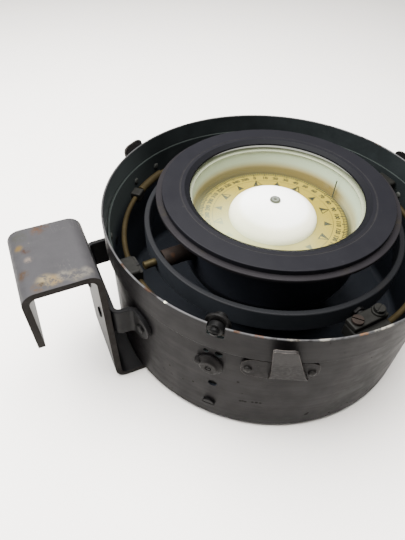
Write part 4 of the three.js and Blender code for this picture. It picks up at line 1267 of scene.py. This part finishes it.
def make_card():
    low = span("card")[0].z
    face = lathe([
        (CARD_HOLE, low), (CARD_R, low, 0.2), (CARD_R, CARD_TOP, 0.2), (CARD_HOLE, CARD_TOP)], TURN)
    piece("card_disc", face, CARD, "card", ["card"])
    piece("card_printing", printing(), INK, "card", ())
    base, rise, r = span("float")[0].z, span("float")[1].z - span("float")[0].z, span("float")[1].x
    dome = [(r * cos(radians(a)), base + rise * sin(radians(a))) for a in range(0, 84, 6)]
    slopes = [(cos(radians(i * 6)), sin(radians(i * 6))) for i in range(len(dome))]
    inner = [(x - FLOAT_WALL * u, z - FLOAT_WALL * v) for (x, z), (u, v) in zip(dome, slopes)]
    dome.append((2.4, base + rise))
    shell = revolve(dome + [(2.4, base + rise - 1.2)] + inner[::-1], 128)
    piece("float_dome", shell, FLOAT, "card", ["float"])
    cap = lathe([
        (0, 91.6), (0.5, 90.2), (2.1, 90.2), (2.1, 95.9), (3.5, 95.9, 0.2), (3.3, 96.8, 0.3),
        (1.5, 96.9, 0.2), (1.2, 96.5), (0, 96.5)], 48)
    piece("cup_cap", cap, CAP_STEEL, "card", ["pivot_cap"])


def dress_hidden_nodes():
    """Pieces inside the bowl keep their CAD shape."""
    looks = {
        "pivot_bridge": BRASS, "diaphragm": BRASS, "bottom_cover": BOWL_BLACK, "ballast": LEAD,
        "magnet_carrier": BRASS, "magnet_a": WIRE, "magnet_b": WIRE,
    }
    for node, look in looks.items():
        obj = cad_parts[node]
        for place in obj.material_slots:
            place.material = look
        for polygon in obj.data.polygons:
            polygon.use_smooth = True
        obj.data.set_sharp_from_angle(angle=radians(35))


# ---------- stage ----------
CAMERA_PLACE = (-151.58, -176.62, 267.61)  # mm
CAMERA_TURN = (60.5, 46.357, -2.212)  # azimuth, fall and roll in degrees
CAMERA_LENS = 29.25
SKY = 0.42
SOFTBOX = 46  # watts
WINDOW = 9


def make_stage():
    bm = bmesh.new()
    bmesh.ops.create_grid(bm, x_segments=8, y_segments=8, size=6)
    bm.transform(Matrix.Translation((0, 0, -0.0002)))
    floor = solid_object("floor", bm)
    f = Finish("pale_paper", (0.85, 0.825, 0.795, 1), 0.8, 0.0, 0.01, 3)
    floor.data.materials.append(f.done(0.1, 300, 0.02))


def area_light(name, place, target, size, power, colour=(1, 1, 1)):
    light = bpy.data.lights.new(name, "AREA")
    light.shape, light.size, light.energy, light.color = "DISK", size, power, colour
    obj = bpy.data.objects.new(name, light)
    obj.location = place
    obj.rotation_mode = "QUATERNION"
    obj.rotation_quaternion = (Vector(target) - Vector(place)).to_track_quat("-Z", "Y")
    bpy.context.scene.collection.objects.link(obj)


def make_lights():
    world = bpy.data.worlds.new("studio")
    bpy.context.scene.world = world
    world.use_nodes = True
    sky = world.node_tree.nodes["Background"]
    sky.inputs["Color"].default_value = (1.0, 0.985, 0.965, 1)
    sky.inputs["Strength"].default_value = SKY
    area_light("softbox", (-0.1, 0.12, 0.78), (-0.04, 0.02, 0.03), 0.85, SOFTBOX, (1.0, 0.98, 0.95))
    area_light("window", (-0.62, 0.3, 0.6), (-0.15, 0.0, 0.0), 0.5, WINDOW, (0.98, 0.99, 1.0))


def make_camera():
    """The photo's own view: looking along an azimuth, down by the fall and rolled about the line of sight."""
    azimuth, fall, roll = (radians(a) for a in CAMERA_TURN)
    ahead = Vector((cos(fall) * cos(azimuth), cos(fall) * sin(azimuth), -sin(fall)))
    right = ahead.cross(Vector((0, 0, 1))).normalized()
    down = ahead.cross(right)
    across = right * cos(roll) + down * sin(roll)
    below = down * cos(roll) - right * sin(roll)
    data = bpy.data.cameras.new("camera")
    data.lens, data.sensor_width, data.sensor_fit = CAMERA_LENS, 36, "AUTO"
    data.clip_start, data.clip_end = 0.01, 50
    camera = bpy.data.objects.new("camera", data)
    turned = Matrix((across, -below, -ahead)).transposed().to_4x4()
    camera.matrix_world = Matrix.Translation(Vector(CAMERA_PLACE) * MM) @ turned
    bpy.context.scene.collection.objects.link(camera)
    bpy.context.scene.camera = camera


make_pan()
make_coaming()
make_hole_plugs()
make_wall_studs()
make_catches()
make_hook()
make_saddle()
make_fittings()
make_hoop()
make_bearings()
make_ring()
make_bowl()
make_card()
dress_hidden_nodes()
make_stage()
make_lights()
make_camera()

bpy.context.view_layer.update()
